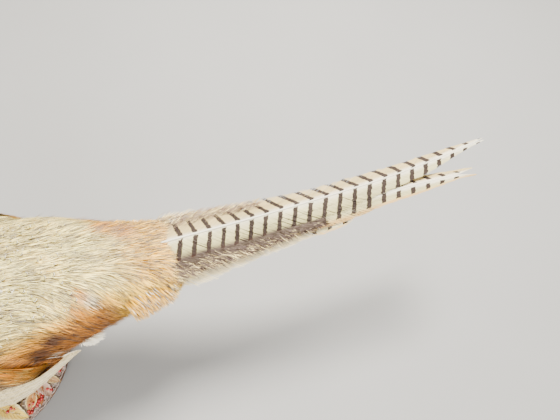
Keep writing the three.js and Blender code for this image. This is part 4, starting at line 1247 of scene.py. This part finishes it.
for side, tag in SIDES:
    flip = np.array([1, side, 1])
    down, angle = rounds(-4, 74, 190, 56, -np.pi)
    middle, across, deep, wide = (line(down) for line in shank_lines)
    front = 1 - ramp(np.abs(angle), 1.15, 1.3)
    turned = np.abs(angle)
    row = down + np.where(angle > 0, 2.1, 0) + 1.6 * turned
    plates = groove(row, 4.3, 0.13) * ramp(turned, 0.0, 0.13) * ramp(np.abs(turned - 1.22), 0.0, 0.1)
    small = groove(down + 1.1 * np.round(angle * 3), 2.3, 0.25) * groove(angle, 1 / 3, 0.25)
    scale = front * plates + (1 - front) * small
    lift = 0.45 * front * plates + 0.22 * (1 - front) * small - 0.25
    shank = np.stack([
        middle + (deep + lift) * np.cos(angle), across + (wide + lift) * np.sin(angle), HOCK_TOP - down,
    ], -1)
    lofts(f"shank_scales_{tag}", "leg_horn", [(shank * flip, scale)], leg_skin.material, f"shank_{tag}")

    # spur: a pointed cone of horn, curved upward, its base in a ring of scales
    t, angle = rounds(0, 1, 22, 20)
    radius = 3.3 * (1 - t) ** 0.8 + 0.15 + 0.12 * np.sin(9 * np.pi * t) * (t < 0.5)
    spur = np.stack([
        240 - 16 * t + 0 * angle, 34.6 - 4.6 * t + radius * np.cos(angle),
        HOCK_TOP - 44 + 2.2 * t + 3.4 * t ** 2 + radius * np.sin(angle),
    ], -1)
    lofts(f"spur_{tag}", "leg_horn", [(spur * flip, 0.0)], claw_horn.material)

    tubes, claws = [], []
    for turn, length, thick, claw, lift in TOES:
        t, angle = rounds(0, 1.03, 90, 28, -np.pi)
        pads = 1 + 0.13 * np.cos(2 * np.pi * t * (3 if length > 20 else 2))
        radius = thick * (1 - 0.35 * t) * pads * np.sqrt(np.clip((1.06 - t) / 0.06, 0.03, 1))
        over = ramp(np.sin(angle), 0.05, 0.35)  # cross bands lie over the toe, pads under it
        bands = groove(t * length + 0.5 * np.abs(angle - np.pi / 2), 2.3, 0.2)
        beads = groove(t * length, 1.3, 0.3) * groove(angle, 0.35, 0.3)
        shape = over * bands + (1 - over) * beads
        radius = radius + (0.30 * over * bands + 0.15 * (1 - over) * beads - 0.15) * (t < 1)
        high = FOOT_FLOOR + thick + lift * (1 - t) + radius * np.sin(angle)
        high = np.maximum(high, FOOT_FLOOR - 0.1)
        tubes.append((toe_place(turn, t * length, radius * np.cos(angle), high) * flip, shape))
        b, angle = rounds(0, 1, 22, 18)
        radius = thick * 0.42 * (1 - b) ** 0.75 + 0.22
        reach = length * 0.96 + (claw + 1.5) * b
        high = FOOT_FLOOR + thick * 1.12 + claw * 0.22 * np.sin(np.pi * b) - (thick * 0.95 + 0.1) * b ** 1.4
        high = np.maximum(high + radius * np.sin(angle), FOOT_FLOOR + 0.05)
        claws.append((toe_place(turn, reach, radius * 0.8 * np.cos(angle), high) * flip, 0.0))
    polar, angle = rounds(0.05, np.pi - 0.05, 30, 40)
    beads = groove(angle, 0.4, 0.3) * groove(polar, 0.35, 0.3)
    knob = 7.0 + 0.25 * beads
    high = np.maximum(-192 + knob * np.cos(polar), FOOT_FLOOR - 0.1)
    ball = toe_place(angle, knob * np.sin(polar), 0, high)
    tubes.append((ball * flip, beads))
    lofts(f"toes_{tag}", "leg_horn", tubes, leg_skin.material, f"foot_{tag}")
    lofts(f"claws_{tag}", "leg_horn", claws, claw_horn.material)

# ---- board ----
# A hand-cut round of stained and varnished wood, a little wider than long, its corners rounded.
# The wires in the bird's legs go down through it and hold it up.
BOARD_FORWARD = 316.0  # its middle, in millimetres ahead of the tail root


def board_edge(angle):
    return 120 * (1 - 0.012 * np.cos(2 * angle) + 0.005 * np.sin(3 * angle + 0.8))


BOARD_MIDDLE = np.array([BOARD_FORWARD, 0.0, -230.0])  # of its underside
wood = Shade("stained_board", Roughness=0.42, Coat_Weight=0.25, Coat_Roughness=0.2)
wood_bend = wood.noise(wood.place(7.0), 1.0, 2.0)
wood_across = wood.times(wood_bend, 0.030, wood.parts(wood.place())["Y"])
wood_rings = wood.math("SINE", wood.times(wood_across, 520.0))
wood_pores = wood.noise(wood.place(420.0, (0.05, 1.0, 0.6)), 1.0, 4.0)
wood_tone = wood.mix(wood.step(wood_rings, -0.8, 0.9), (0.115, 0.044, 0.018, 1), (0.235, 0.105, 0.045, 1))
wood.colour(wood.mix(wood.step(wood_pores, 0.52, 0.66, 0.0, 0.7), wood_tone, (0.035, 0.014, 0.008, 1)))
wood.bump(wood.times(wood_rings, 0.25, wood_pores), 0.0003, 0.4)
angle = np.linspace(0, 2 * np.pi, 200, endpoint=False)
corner = [(2.5 * (1 - math.sin(k)), 2.5 * (1 - math.cos(k))) for k in np.linspace(0, math.pi / 2, 7)]
profile = [(60, 0), (3, 0), *corner, (0, 6), (0, 12)]
profile += [(inset, 18 - level) for inset, level in corner[::-1]] + [(3, 18), (60, 18)]
rings = []
for inset, level in profile:
    reach = board_edge(angle) - inset
    rings.append(np.stack([reach * np.cos(angle), reach * np.sin(angle), level + 0 * angle], -1))
lofts("wooden_board", "board_wood", [(rings + BOARD_MIDDLE, 0.0)], wood.material, "base_board")

# ---- groundwork ----
# A mound of coloured paper pulp lapping over the board, strewn with crumbs, dead leaves,
# dry grass and red berries, all glued down.
pulp = Shade("pulp_crust", Roughness=0.9)
pulp_patch = pulp.noise(pulp.place(28.0), 1.0, 4.0)
pulp_grain = pulp.noise(pulp.place(420.0), 1.0, 4.0, 0.7)
pulp_tone = pulp.mix(pulp.step(pulp_patch, 0.38, 0.66), (0.42, 0.30, 0.19, 1), (0.62, 0.50, 0.38, 1))
pulp_tone = pulp.mix(pulp.attribute("value"), pulp_tone, (0.78, 0.66, 0.60, 1))
pulp.colour(pulp.mix(pulp.step(pulp_grain, 0.40, 0.60, 0.65, 0.0), pulp_tone, (0.17, 0.11, 0.06, 1)))
pulp.bump(pulp_grain, 0.0016, 0.8)


def ground_height(x, y):
    """Height of the crust over the tail root's level, in millimetres; x and y from the board's middle."""
    far = np.hypot(x, y) / board_edge(np.arctan2(y, x))
    places = np.stack([x, y, 0 * x], -1).reshape(-1, 3) / 1000
    lumps = (wavy(places, 210.0, 3.0) * 0.9 + wavy(places, 620.0, 6.0) * 0.5).reshape(np.shape(x))
    return -200.2 - 12.0 * ramp(far, 0.78, 1.03) ** 1.6 + lumps * ramp(far, 0.45, 0.8) - 0.4


reach, angle = rounds(0.02, 1.0, 90, 420)
edge = board_edge(angle) + 4.2
x, y = reach * edge * np.cos(angle), reach * edge * np.sin(angle)
rings = [np.stack([x, y, ground_height(x, y)], -1)]
angle = angle[0]
for inset, level in ((-5.6, -209.0), (-5.9, -210.6), (-4.6, -211.6), (1.5, -211.7)):
    lap = board_edge(angle) - inset + 0.7 * np.sin(31 * angle) + 0.5 * np.sin(73 * angle + 1)
    under = [lap * np.cos(angle), lap * np.sin(angle), level + 0.4 * np.sin(47 * angle)]
    rings.append(np.stack(under, -1)[None])
rings = np.concatenate(rings) + np.array([BOARD_FORWARD, 0, 0])
crust = np.concatenate([ramp(reach, 0.90, 0.99), np.ones((4, 420))])
lofts("pulp_mound", "groundwork", [(rings, crust)], pulp.material, "groundwork")


def strewn(count, low, high, clear=0.0):
    """Random places on the mound, out of the way of the feet."""
    angle, far = dice.uniform(-np.pi, np.pi, count), np.sqrt(dice.uniform(low ** 2, high ** 2, count))
    x, y = far * board_edge(angle) * np.cos(angle), far * board_edge(angle) * np.sin(angle)
    free = np.hypot((x + 69 - 16) / 1.2, np.abs(y) - 37) > clear
    return x[free], y[free]


def blobs(name, x, y, over, sizes, squash, material, shades):
    """Many small rounded lumps in one mesh, each of six rings of eight points."""
    rows, around = 6, 8
    middles = np.stack([x + BOARD_FORWARD, y, ground_height(x, y) + over], -1)
    count = len(middles)
    polar, angle = rounds(0.12, np.pi - 0.12, rows, around)
    ball = [np.sin(polar) * np.cos(angle), np.sin(polar) * np.sin(angle), np.cos(polar)]
    ball = np.stack(ball, -1).reshape(-1, 3)
    rough = 1 + dice.normal(0, squash, (count, len(ball), 1))
    places = ORIGIN + (middles[:, None] + ball[None] * rough * sizes[:, None, None]).reshape(-1, 3) * 0.001
    bake = np.stack([np.mod(np.arange(count) * 0.618, 1), np.arange(count) / count], 1)
    bake = np.repeat(bake, len(ball), 0) + np.tile(ball[:, :2] * 0.004, (count, 1))
    quads = grid_quads(rows, around, count, closed=True)[:, ::-1]
    colours = {"ground": np.repeat(shades, len(ball), 0)}
    quads_mesh(name, "groundwork", (), places, quads, {"OFBake": bake}, colours, {}, material)


crumb = Shade("crumbs", Roughness=0.9)
crumb.colour(crumb.ink("ground"))
crumb.bump(crumb.noise(crumb.place(1200.0), 1.0), 0.0004, 0.8)
x, y = strewn(1500, 0.0, 1.03, 12.0)
tints = [(196, 170, 140), (226, 206, 190), (148, 108, 68), (214, 172, 150), (96, 74, 46)]
tints = np.array([tone(*tint) for tint in tints])
blobs("pulp_crumbs", x, y, 0.3, dice.uniform(0.6, 1.7, len(x)), 0.16, crumb.material,
      tints[dice.integers(0, 5, len(x))])
berry = Shade("berry_skin", Roughness=0.28, Coat_Weight=0.3)
berry_cloud = berry.noise(berry.place(300.0), 1.0)
berry.colour(berry.mix(berry_cloud, (0.30, 0.008, 0.010, 1), (0.72, 0.045, 0.035, 1)))
berry.bump(berry_cloud, 0.0004, 0.3)
x, y = strewn(44, 0.45, 1.0, 24.0)
bunches = [(-103, 54), (-70, 93), (-66, 96), (-76, 90), (-80, 84), (-60, 101), (60, 94), (98, -40)]
x, y = np.concatenate([[x, y], np.array(bunches, float).T], 1)
x = np.repeat(x, 3) + dice.normal(0, 2.6, 3 * len(x))
y = np.repeat(y, 3) + dice.normal(0, 2.6, 3 * len(y))
size = dice.uniform(1.7, 3.0, len(x))
blobs("berries", x, y, size * 0.8, size, 0.02, berry.material, np.ones((len(x), 3)))

# dead leaves: curled, cream, pink and yellow-orange, with a midrib, side veins and a paler margin
leaf = Shade("dead_leaf", Roughness=0.68)
leaf_out, leaf_up = leaf.vane()
leaf_run = leaf.times(leaf_out, -0.30, leaf_up)
veins = leaf.math("ABSOLUTE", leaf.math("SINE", leaf.times(leaf_run, 30.0)))
leaf_patch = leaf.noise(leaf.place(70.0), 1.0, 4.0)
leaf_rim = leaf.ink("border")
leaf_share = leaf.step(leaf_patch, 0.35, 0.7, 0.0, 0.55)
leaf_paint = leaf.mix(leaf_share, leaf.ink("ground"), (0.40, 0.20, 0.08, 1))
leaf_paint = leaf.mix(leaf.step(leaf_out, 0.55, 0.95), leaf_paint, leaf_rim)
leaf_paint = leaf.mix(leaf.step(veins, 0.22, 0.05, 0.0, 0.5), leaf_paint, leaf_rim)
leaf.colour(leaf.mix(leaf.step(leaf_out, 0.07, 0.03, 0.0, 0.8), leaf_paint, (0.78, 0.60, 0.36, 1)))
leaf.bump(leaf.times(leaf_patch, 0.6, veins), 0.0007, 0.6)
YELLOW, PALE, PINK = tone(240, 176, 62), tone(250, 226, 160), tone(222, 184, 160)
# middle, heading, length, width, colour and margin of the largest
set_leaves = [
    (-40, 94, 2.5, 44, 26, tone(255, 214, 84), tone(255, 240, 180)),
    (-66, 88, 1.1, 26, 13, tone(226, 150, 70), PALE),
    (-84, 76, 2.0, 30, 15, PINK, tone(232, 200, 180)),
    (-94, 66, 2.6, 24, 11, tone(220, 172, 120), PALE),
    (-74, 68, 0.6, 28, 14, tone(214, 160, 112), PINK),
    (-58, 74, 2.9, 30, 14, PINK, PALE),
]
kinds = ((YELLOW, PALE), (PINK, PALE), (tone(188, 112, 48), tone(150, 84, 40)), (tone(206, 168, 120), PINK))
x, y = strewn(120, 0.25, 0.93, 27.0)
for px, py in zip(x[:64], y[:64]):
    kind = dice.integers(0, 4)
    turn, length, wide = dice.uniform(0, 6.28), dice.uniform(14, 36), dice.uniform(8, 17)
    set_leaves.append((px, py, turn, length, wide, *kinds[kind]))
rows, columns = 13, 7
u, v = np.meshgrid(np.linspace(0, 1, rows), np.linspace(-1, 1, columns), indexing="ij")
places, grounds, borders, bakes = [], [], [], []
for k, (px, py, turn, length, wide, shade, margin) in enumerate(set_leaves):
    half = wide / 2 * np.sin(np.pi * np.clip(u, 0.015, 0.985) ** 0.85) ** 0.8 * (1 + 0.06 * np.sin(u * 40))
    along, aside = (u - 0.5) * length, half * v
    curl, fold, droop = dice.uniform(0.2, 1.0), dice.uniform(0.15, 0.5), dice.uniform(0.8, 1.8)
    up = curl * 5 * (u - 0.5) ** 2 * length / 25 + fold * np.abs(aside) + 0.5 * np.sin(6 * u + 5 * v + k)
    gx = px + along * np.cos(turn) - aside * np.sin(turn)
    gy = py + along * np.sin(turn) + aside * np.cos(turn)
    gz = ground_height(gx, gy) + droop + up
    places.append(np.stack([gx + BOARD_FORWARD, gy, gz], -1).reshape(-1, 3))
    grounds.append(np.tile(shade * dice.uniform(0.85, 1.1), (rows * columns, 1)))
    borders.append(np.tile(margin, (rows * columns, 1)))
    bake = np.stack([k % 9 + 0.1 + 0.4 * (v + 1), k // 9 + 0.1 + 0.8 * u], -1) / 9  # nine by nine
    bakes.append(bake.reshape(-1, 2))
vane = np.tile(np.stack([v.ravel() * 0.5 + 0.5, u.ravel()], 1), (len(places), 1))
maps = {"OFBake": np.concatenate(bakes), "vane": vane}
colours = {"ground": np.concatenate(grounds), "border": np.concatenate(borders)}
quads_mesh("dead_leaves", "groundwork", (), ORIGIN + np.concatenate(places) * 0.001,
           grid_quads(rows, columns, len(places)), maps, colours, {}, leaf.material)

# dry grass: thin bent blades in small bunches
x, y = strewn(420, 0.15, 0.97, 14.0)
x, y = x + dice.normal(0, 2, len(x)), y + dice.normal(0, 2, len(y))
t = np.linspace(0, 1, 6)[None, :]
turn = dice.uniform(0, 6.28, len(x))[:, None] + dice.normal(0, 0.5, (len(x), 1)) * t
long = dice.uniform(9, 26, len(x))[:, None]
steep = dice.uniform(0.05, 0.75, len(x))[:, None]
gx = x[:, None] + long * t * np.cos(turn) * np.sqrt(1 - steep ** 2)
gy = y[:, None] + long * t * np.sin(turn) * np.sqrt(1 - steep ** 2)
inside = (np.hypot(gx, gy) < 116).all(1)
gz = ground_height(x, y)[:, None] + long * steep * (t - 0.55 * t ** 2) + 0.3
lines = (ORIGIN + np.stack([gx + BOARD_FORWARD, gy, gz], -1) * 0.001)[inside]
count = len(lines)
straw = blend(tone(206, 178, 112), tone(120, 112, 60), dice.random(count))
barbs_over("dry_grass", "groundwork", lines, np.broadcast_to([0.0, 0.0, 1.0], lines.shape),
           dice.uniform(0.0007, 0.0014, count), np.zeros(count, int), straw)

# ---- tail ----
# Twelve long barred feathers nested under each other like roofs, the two longest on top.
# Each is a horny quill with flat barbs down both sides; near the root the barbs hang loose.
TAIL_RISE = 0.0834  # climb for each millimetre of the tail's length
ROOF_SLOPE = 0.30  # fall of each vane away from its quill
NESTING = 1.5
BAR_STEP = 19.3  # between the dark bars, along the quill
MAP_LENGTH = 450  # of a tail feather laid out in its map
MIDDLE_LINE = (5.0, 0.03)  # neither side's shorter feathers cross it


def tapered(full, tip):
    return lambda d: full * np.sqrt(np.maximum(1 - (np.clip(d, 0, tip) / tip) ** 3, 0))


longest = {
    "name": "tail_feather_1_right",
    "tip": 425,
    "shaft": smooth([(0, 0), (120, 6.5), (240, 10), (320, 9), (425, 0)]),
    "left": smooth([
        (0, 35), (60, 34), (110, 30), (180, 24), (240, 20), (300, 15), (345, 12), (375, 7), (425, 0.8),
    ]),
    "right": smooth([
        (0, 38), (60, 36), (110, 30), (180, 20), (240, 18.5), (320, 14.5), (385, 8.5), (425, 0.8),
    ]),
    "level": lambda d: 1 + 0 * d,
    "bar_shift": -3.6,
    "fork": 1.2,
}
second = {
    "name": "tail_feather_1_left",
    "tip": 400,
    "shaft": lambda d: 6.5 + 0.069 * d,
    "left": smooth([(0, 33), (90, 31), (180, 24), (230, 20), (287, 14), (331, 11), (370, 6), (400, 0.8)]),
    "right": smooth([(0, 24), (180, 19), (287, 14), (350, 11), (380, 7), (400, 0.8)]),
    "bar_shift": 1.4,
    "fork": 4.5,  # its tip has split along the quill
}
tail_feathers = [longest]


def hang_under(feather, above):
    def level(d):
        return above["level"](d) + ROOF_SLOPE * np.abs(feather["shaft"](d) - above["shaft"](d)) + NESTING

    feather["level"] = level
    tail_feathers.append(feather)
    return feather


def side_feather(k, side, tip):
    """One of the shorter tail feathers, k counted from the middle of the tail."""
    middle = lambda d: MIDDLE_LINE[0] + MIDDLE_LINE[1] * d
    if side == "left":
        shaft = lambda d: 6.5 + 5 * (k - 1) + (0.085 + 0.013 * (k - 1)) * d
        outer, inner = tapered(14 + k, tip), tapered(15, tip)
        widths = {"left": outer, "right": lambda d: np.minimum(inner(d), shaft(d) - middle(d) - 0.5)}
    else:
        shaft = lambda d: 4 - 4.5 * (k - 1) + 0 * d
        outer, inner = tapered(12 + k, tip), tapered(12, tip)
        widths = {"right": outer, "left": lambda d: np.minimum(inner(d), middle(d) - shaft(d) - 0.5)}
    name = f"tail_feather_{k}_{side}"
    return {"name": name, "tip": tip, "shaft": shaft, "bar_shift": 0, "fork": 0, **widths}


above_left = above_right = hang_under(second, longest)
for k, (left_tip, right_tip) in enumerate([(262, 210), (230, 150), (165, 112), (115, 82), (75, 55)], 2):
    above_left = hang_under(side_feather(k, "left", left_tip), above_left)
    above_right = hang_under(side_feather(k, "right", right_tip), above_right)

# tail vanes: pale, with dark bars across each vane that stop short of the quill
barred = Shade("tail_vane", Roughness=0.6, Specular_IOR_Level=0.15)
wobble = barred.noise(barred.place(260.0), 1.0, 2.0)
broken = barred.noise(barred.place(150.0, (1.0, 1.6, 1.6)), 1.0, 3.0)
phase = barred.times(wobble, 0.22, barred.attribute("phase"))
from_bar = barred.math("ABSOLUTE", barred.math("SUBTRACT", barred.math("FRACT", phase), 0.5))
bar = barred.step(from_bar, 0.175, 0.140)
strength = barred.math("ADD", barred.attribute("marks"), barred.math("SUBTRACT", broken, 0.5))
bar = barred.times(bar, barred.step(strength, 0.25, 0.50))
fade = barred.noise(barred.place(34.0), 1.0, 3.0)
# each lock of barbs is lighter or darker by its lot: partly at random, partly painted light on the locks
# that lift clear and painted shade on those that sink
vane_paint = barred.mix(barred.attribute("lot"), (0.74, 0.74, 0.74, 1), (1.08, 1.08, 1.08, 1))
vane_paint = barred.mix(1.0, barred.ink("ground"), vane_paint, "MULTIPLY")
clouded = barred.mix(barred.step(fade, 0.35, 0.7), (0.90, 0.91, 0.90, 1), (1.04, 1.03, 1.0, 1))
vane_paint = barred.mix(1.0, vane_paint, clouded, "MULTIPLY")
# the paler bar colour of high-lot locks: partly random tone, partly painted light on the lifted locks
lit_and_pale_lock_bar = (0.06, 0.042, 0.034, 1)
bar_paint = barred.mix(barred.attribute("lot"), barred.ink("border"), lit_and_pale_lock_bar)
barred.colour(barred.mix(bar, vane_paint, bar_paint))
barred.bump(barred.attribute("lot"), 0.00015, 0.4)

quill = Shade("quill", Roughness=0.4)
quill_cloud = quill.noise(quill.place(60.0), 1.0)
quill.colour(quill.mix(quill_cloud, (0.86, 0.80, 0.64, 1), (0.95, 0.91, 0.80, 1)))
quill.bump(quill.noise(quill.place(400.0, (0.1, 1, 1)), 1.0), 0.0002, 0.3)

# the near vane's ground is lighter and greener than the far vane's: partly the vanes' own colours, partly
# painted light on the near slope of the roof
VANE_GREEN = tone(224, 214, 164)
VANE_CREAM = tone(212, 188, 134)
VANE_OLIVE = tone(188, 178, 120)
LILAC = tone(98, 82, 76)
FRAYED_BROWN = tone(158, 132, 108)
BAR_BROWN = tone(38, 29, 22)
ORANGE_BUFF = tone(222, 180, 112)
SEGMENTS = 7


def tail_place(feather, d, across, lift=0.0):
    """A point of a tail feather: d along the tail, across from its quill to the left, in millimetres."""
    height = TAIL_RISE * d - feather["level"](np.maximum(d, 0)) - ROOF_SLOPE * np.abs(across) + lift
    left = feather["shaft"](d) + across
    return ORIGIN + np.stack([-d, left, height], -1) * 0.001


def vane_colours(feather, d, across, out):
    """Ground, bar colour and bar strength over the vanes, by place along and across."""
    top = feather is longest
    quill_white = 1 - ramp(np.abs(across), 1.5, 6.0)
    near_side = across > 0
    wide = np.abs(across)
    count = len(d)
    # near vane lighter and greener, far vane warmer: partly own colour, partly painted light on the near
    # slope
    ground = np.where(near_side[:, None], VANE_GREEN, VANE_CREAM)
    basal = 1 - ramp(d, 140, 195)
    if top:
        ground = blend(ground, VANE_OLIVE, near_side * ramp(wide, 6, 20) * 0.8)
        frayed = ~near_side * ramp(wide, 13, 29) * (1 - ramp(d, 50, 150))
        ground = blend(ground, FRAYED_BROWN, frayed)
        lilac = near_side * ramp(wide, 17, 24) * basal
        ground = blend(ground, LILAC, lilac)
        marks = ramp(wide, 1.2, 2.0) * (1 - ramp(wide, 25, 29)) * np.where(near_side, 1, 1 - frayed ** 3)
    else:
        to_edge = second["shaft"](d) + second["left"](d) - feather["shaft"](d) - across
        ground = blend(ground, VANE_OLIVE, near_side * 0.35 * ramp(out, 0.1, 0.5))
        ground = blend(ground, LILAC, near_side * basal)
        ground = blend(ground, ORANGE_BUFF, near_side * ramp(out, 0.66, 0.9) * (1 - basal))
        ground = blend(ground, tone(244, 228, 184), near_side * ramp(-to_edge, -4.0, -1.5) * basal)
        ground = blend(ground, FRAYED_BROWN, ~near_side * ramp(out, 0.6, 0.9) * basal * 0.7)
        marks = ramp(wide, 1.8, 2.6) * (1 - ramp(out, 0.74, 0.86)) * (1 - ramp(-to_edge, -12, -7) * basal)
    ground = blend(ground, DOWN_WHITE, quill_white * 0.8)
    dark = np.tile(BAR_BROWN, (count, 1))
    dark = blend(dark, MAROON, basal * (near_side * (ramp(wide, 21, 27) if top else 1.0)))
    # towards the tips the bars break up into short spots, and the very tips are plain
    marks = marks - 0.42 * ramp(d, feather["tip"] - 95, feather["tip"] - 10)
    return ground, dark, marks


def vane_mesh(row, feather):
    """One tail feather's barbs, both sides, as thin overlapping strips from the quill to the edge."""
    spacing, start = 0.75, -14.0
    vertices, where, lots = [], [], []
    from_d = np.arange(start, feather["tip"] - 3, spacing)
    count = len(from_d)
    t = np.linspace(0, 1, SEGMENTS + 1)
    for side, edge in ((1, "left"), (-1, "right")):
        width = feather[edge]
        reach = 1.25 * np.maximum(width(from_d), 2.0)
        end_d = np.minimum(from_d + reach, feather["tip"] + dice.uniform(-2, 5, count))
        knots = np.arange(start, 440, 6)
        ragged = np.interp(from_d, knots, dice.normal(0, 1, len(knots)))
        looseness = np.clip((1 - ramp(from_d, 190, 270)) * (0.9 if side > 0 else 0.6), 0.12, 1)
        end_a = np.maximum(width(end_d), 0.6)
        end_a = end_a * (1 + 0.035 * ragged + dice.normal(0, 0.045, count) * looseness)
        split = np.round(from_d / 9.0 + 0.4 * ragged)  # barbs hold together in locks a few mm wide
        droop = np.sin(split * 12.9898) * looseness
        d = from_d[:, None] + (end_d - from_d)[:, None] * t ** 1.15
        a = end_a[:, None] * t ** 0.92 + feather["fork"] * ramp(d, feather["tip"] - 30, feather["tip"])
        free = ramp(a, 19, 30) * looseness[:, None]
        d = d + free * (dice.normal(0, 1.6, count)[:, None] + 1.2 * np.sin(split * 78.233)[:, None])
        lift = free * (0.9 * droop[:, None] + dice.normal(0, 0.5, count)[:, None])
        lift = lift + 0.25 * np.sin(np.pi * t)
        half = spacing * 0.62 * np.where(t < 0.8, 1.0, 1.0 - 0.75 * (t - 0.8) / 0.2) * (1 - 0.35 * free)
        pair = [
            tail_place(feather, d + shift * half * 0.9, side * (a - shift * half * 0.35), lift)
            for shift in (-1, 1)
        ]
        flat = [np.stack([d + shift * half, side * a], -1) for shift in (-1, 1)]
        vertices.append(np.stack(pair, 2).reshape(-1, 3))
        where.append(np.stack(flat, 2).reshape(-1, 2))
        # a lock's lot: partly random, partly its lift, so locks that rise are painted lighter (painted
        # light) and those that sink darker (painted shade)
        lot = np.clip(dice.random(count) * 0.6 + 0.4 * (droop * 0.5 + 0.5), 0, 1)
        lots.append(np.repeat(lot, 2 * (SEGMENTS + 1)))
    d, across = np.concatenate(where).T
    width = np.where(across > 0, feather["left"](d), feather["right"](d))
    out = np.clip(np.abs(across) / np.maximum(width, 0.6), 0, 1.2)
    ground, dark, marks = vane_colours(feather, d, across, out)
    slant = np.where(across > 0, 0.43, 0.20 + 0.60 * ramp(d, 0, 150) - 0.28 * ramp(d, 200, 330))
    # the bars stand closer together near the root
    crowded = 12.0 * (1 - ramp(d, 15, 150)) + np.where(across < 0, 5.0 * ramp(d, 40, 130), 0)
    bars = (d + slant * np.abs(across) + feather["bar_shift"] - crowded) / BAR_STEP
    bake_row = (row + 0.5 + across / 80) / len(tail_feathers)
    bake = np.stack([0.02 + 0.95 * (d - start) / MAP_LENGTH, bake_row], 1)
    quads_mesh(
        feather["name"] + "_vane", "tail_plumage", (feather["name"],), np.concatenate(vertices),
        grid_quads(SEGMENTS + 1, 2, 2 * count), {"OFBake": bake}, {"ground": ground, "border": dark},
        {"marks": marks, "phase": bars, "lot": np.concatenate(lots)}, barred.material,
    )


def quill_mesh(feather):
    """The quill: a tapering half-round rod on top of the vanes."""
    steps = int(feather["tip"] / 8)
    d = np.linspace(-14, feather["tip"] - 1 - 6 * feather["fork"], steps)
    radius = (0.95 if feather is longest else 0.6) * (1 - d.clip(0) / feather["tip"]) ** 0.8 + 0.25
    rings = []
    for angle in np.linspace(0, 2 * np.pi, 8, endpoint=False):
        lift = radius * np.sin(angle) * 0.8 + radius * 0.35 + ROOF_SLOPE * np.abs(radius * np.cos(angle))
        rings.append(tail_place(feather, d, radius * np.cos(angle), lift))
    bake = np.stack([np.repeat(d, 8) / MAP_LENGTH + 0.04, np.tile(np.arange(8) / 8, steps)], 1)
    quads_mesh(feather["name"] + "_quill", "tail_plumage", (), np.stack(rings, 1).reshape(-1, 3),
               grid_quads(steps, 8, closed=True), {"OFBake": bake}, {}, {}, quill.material)


def tail_down(name, side, count, reach, inner, outer, lean, crowding, kinds):
    """Loose single barbs over the edge of the vanes near the root. kinds is the share of the dark ones,
    their colour, the share of the dark and the plain ones, and the colour of the plain ones."""
    d = -4 + reach * dice.random(count) ** 1.1
    spread = dice.random(count) ** crowding
    across = inner + (outer - inner) * spread * (1 - 0.6 * d / reach) - 4 * d / reach
    length = dice.uniform(6, 19, count) * (1 - 0.45 * d / reach)
    angle = dice.normal(lean, 0.22, count)
    steps = np.linspace(0, 1, 5)
    bend = dice.normal(0, 0.18, count)
    t = steps[None, :]
    dd = d[:, None] + (length * np.cos(angle))[:, None] * t
    aa = across[:, None] + (length * np.sin(angle))[:, None] * t + (bend * length)[:, None] * t * (1 - t)
    over = dice.uniform(0.4, 1.2, count)[:, None] + dice.uniform(-1.0, 0.9, count)[:, None] * t ** 2
    half = dice.uniform(0.16, 0.34, count)[:, None] * (1 - t ** 3 * 0.9)
    pair = [
        tail_place(longest, dd + sign * half * 0.6, side * (aa - sign * half * 0.8), over)
        for sign in (-1, 1)
    ]
    pick = (dice.random(count) + 0.4 * (across - inner) / (outer - inner))[:, None]
    dark_share, dark, plain_share, plain = kinds
    ground = np.where(pick < dark_share, dark, np.where(pick < plain_share, plain, PALE))
    ground = np.repeat(ground, 10, 0)
    vane = np.stack([np.tile([0.0, 1.0], count * 5), np.tile(np.repeat(steps, 2), count)], 1)
    root = np.stack([0.02 + 0.9 * d / MAP_LENGTH, 0.5 + side * across / 80], 1)
    maps = {"OFBake": np.repeat(root, 10, 0) + (vane - 0.5) * 0.003, "vane": vane}
    quads_mesh(name, "tail_plumage", (), np.stack(pair, 2).reshape(-1, 3), grid_quads(5, 2, count), maps,
               {"ground": ground, "border": ground}, {"lot": np.repeat(dice.uniform(0.2, 1, count), 10)},
               strand.material)


tail_down("tail_down_left", 1, 3600, 195, 26, 42, 0.58, 0.8, (0.36, tone(48, 37, 31), 0.98, LILAC))
tail_down("tail_down_right", -1, 800, 125, 15, 38, 0.40, 0.45, (0.16, tone(70, 52, 40), 0.75, FRAYED_BROWN))
for row, feather in enumerate(tail_feathers):
    vane_mesh(row, feather)
    quill_mesh(feather)

# ---- close ----
# The box of the plain model and that of the finished one, kept side by side.
new_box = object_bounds()
sizes = {
    "cad": [list(corner) for corner in cad_box],
    "visual": [list(corner) for corner in new_box],
}
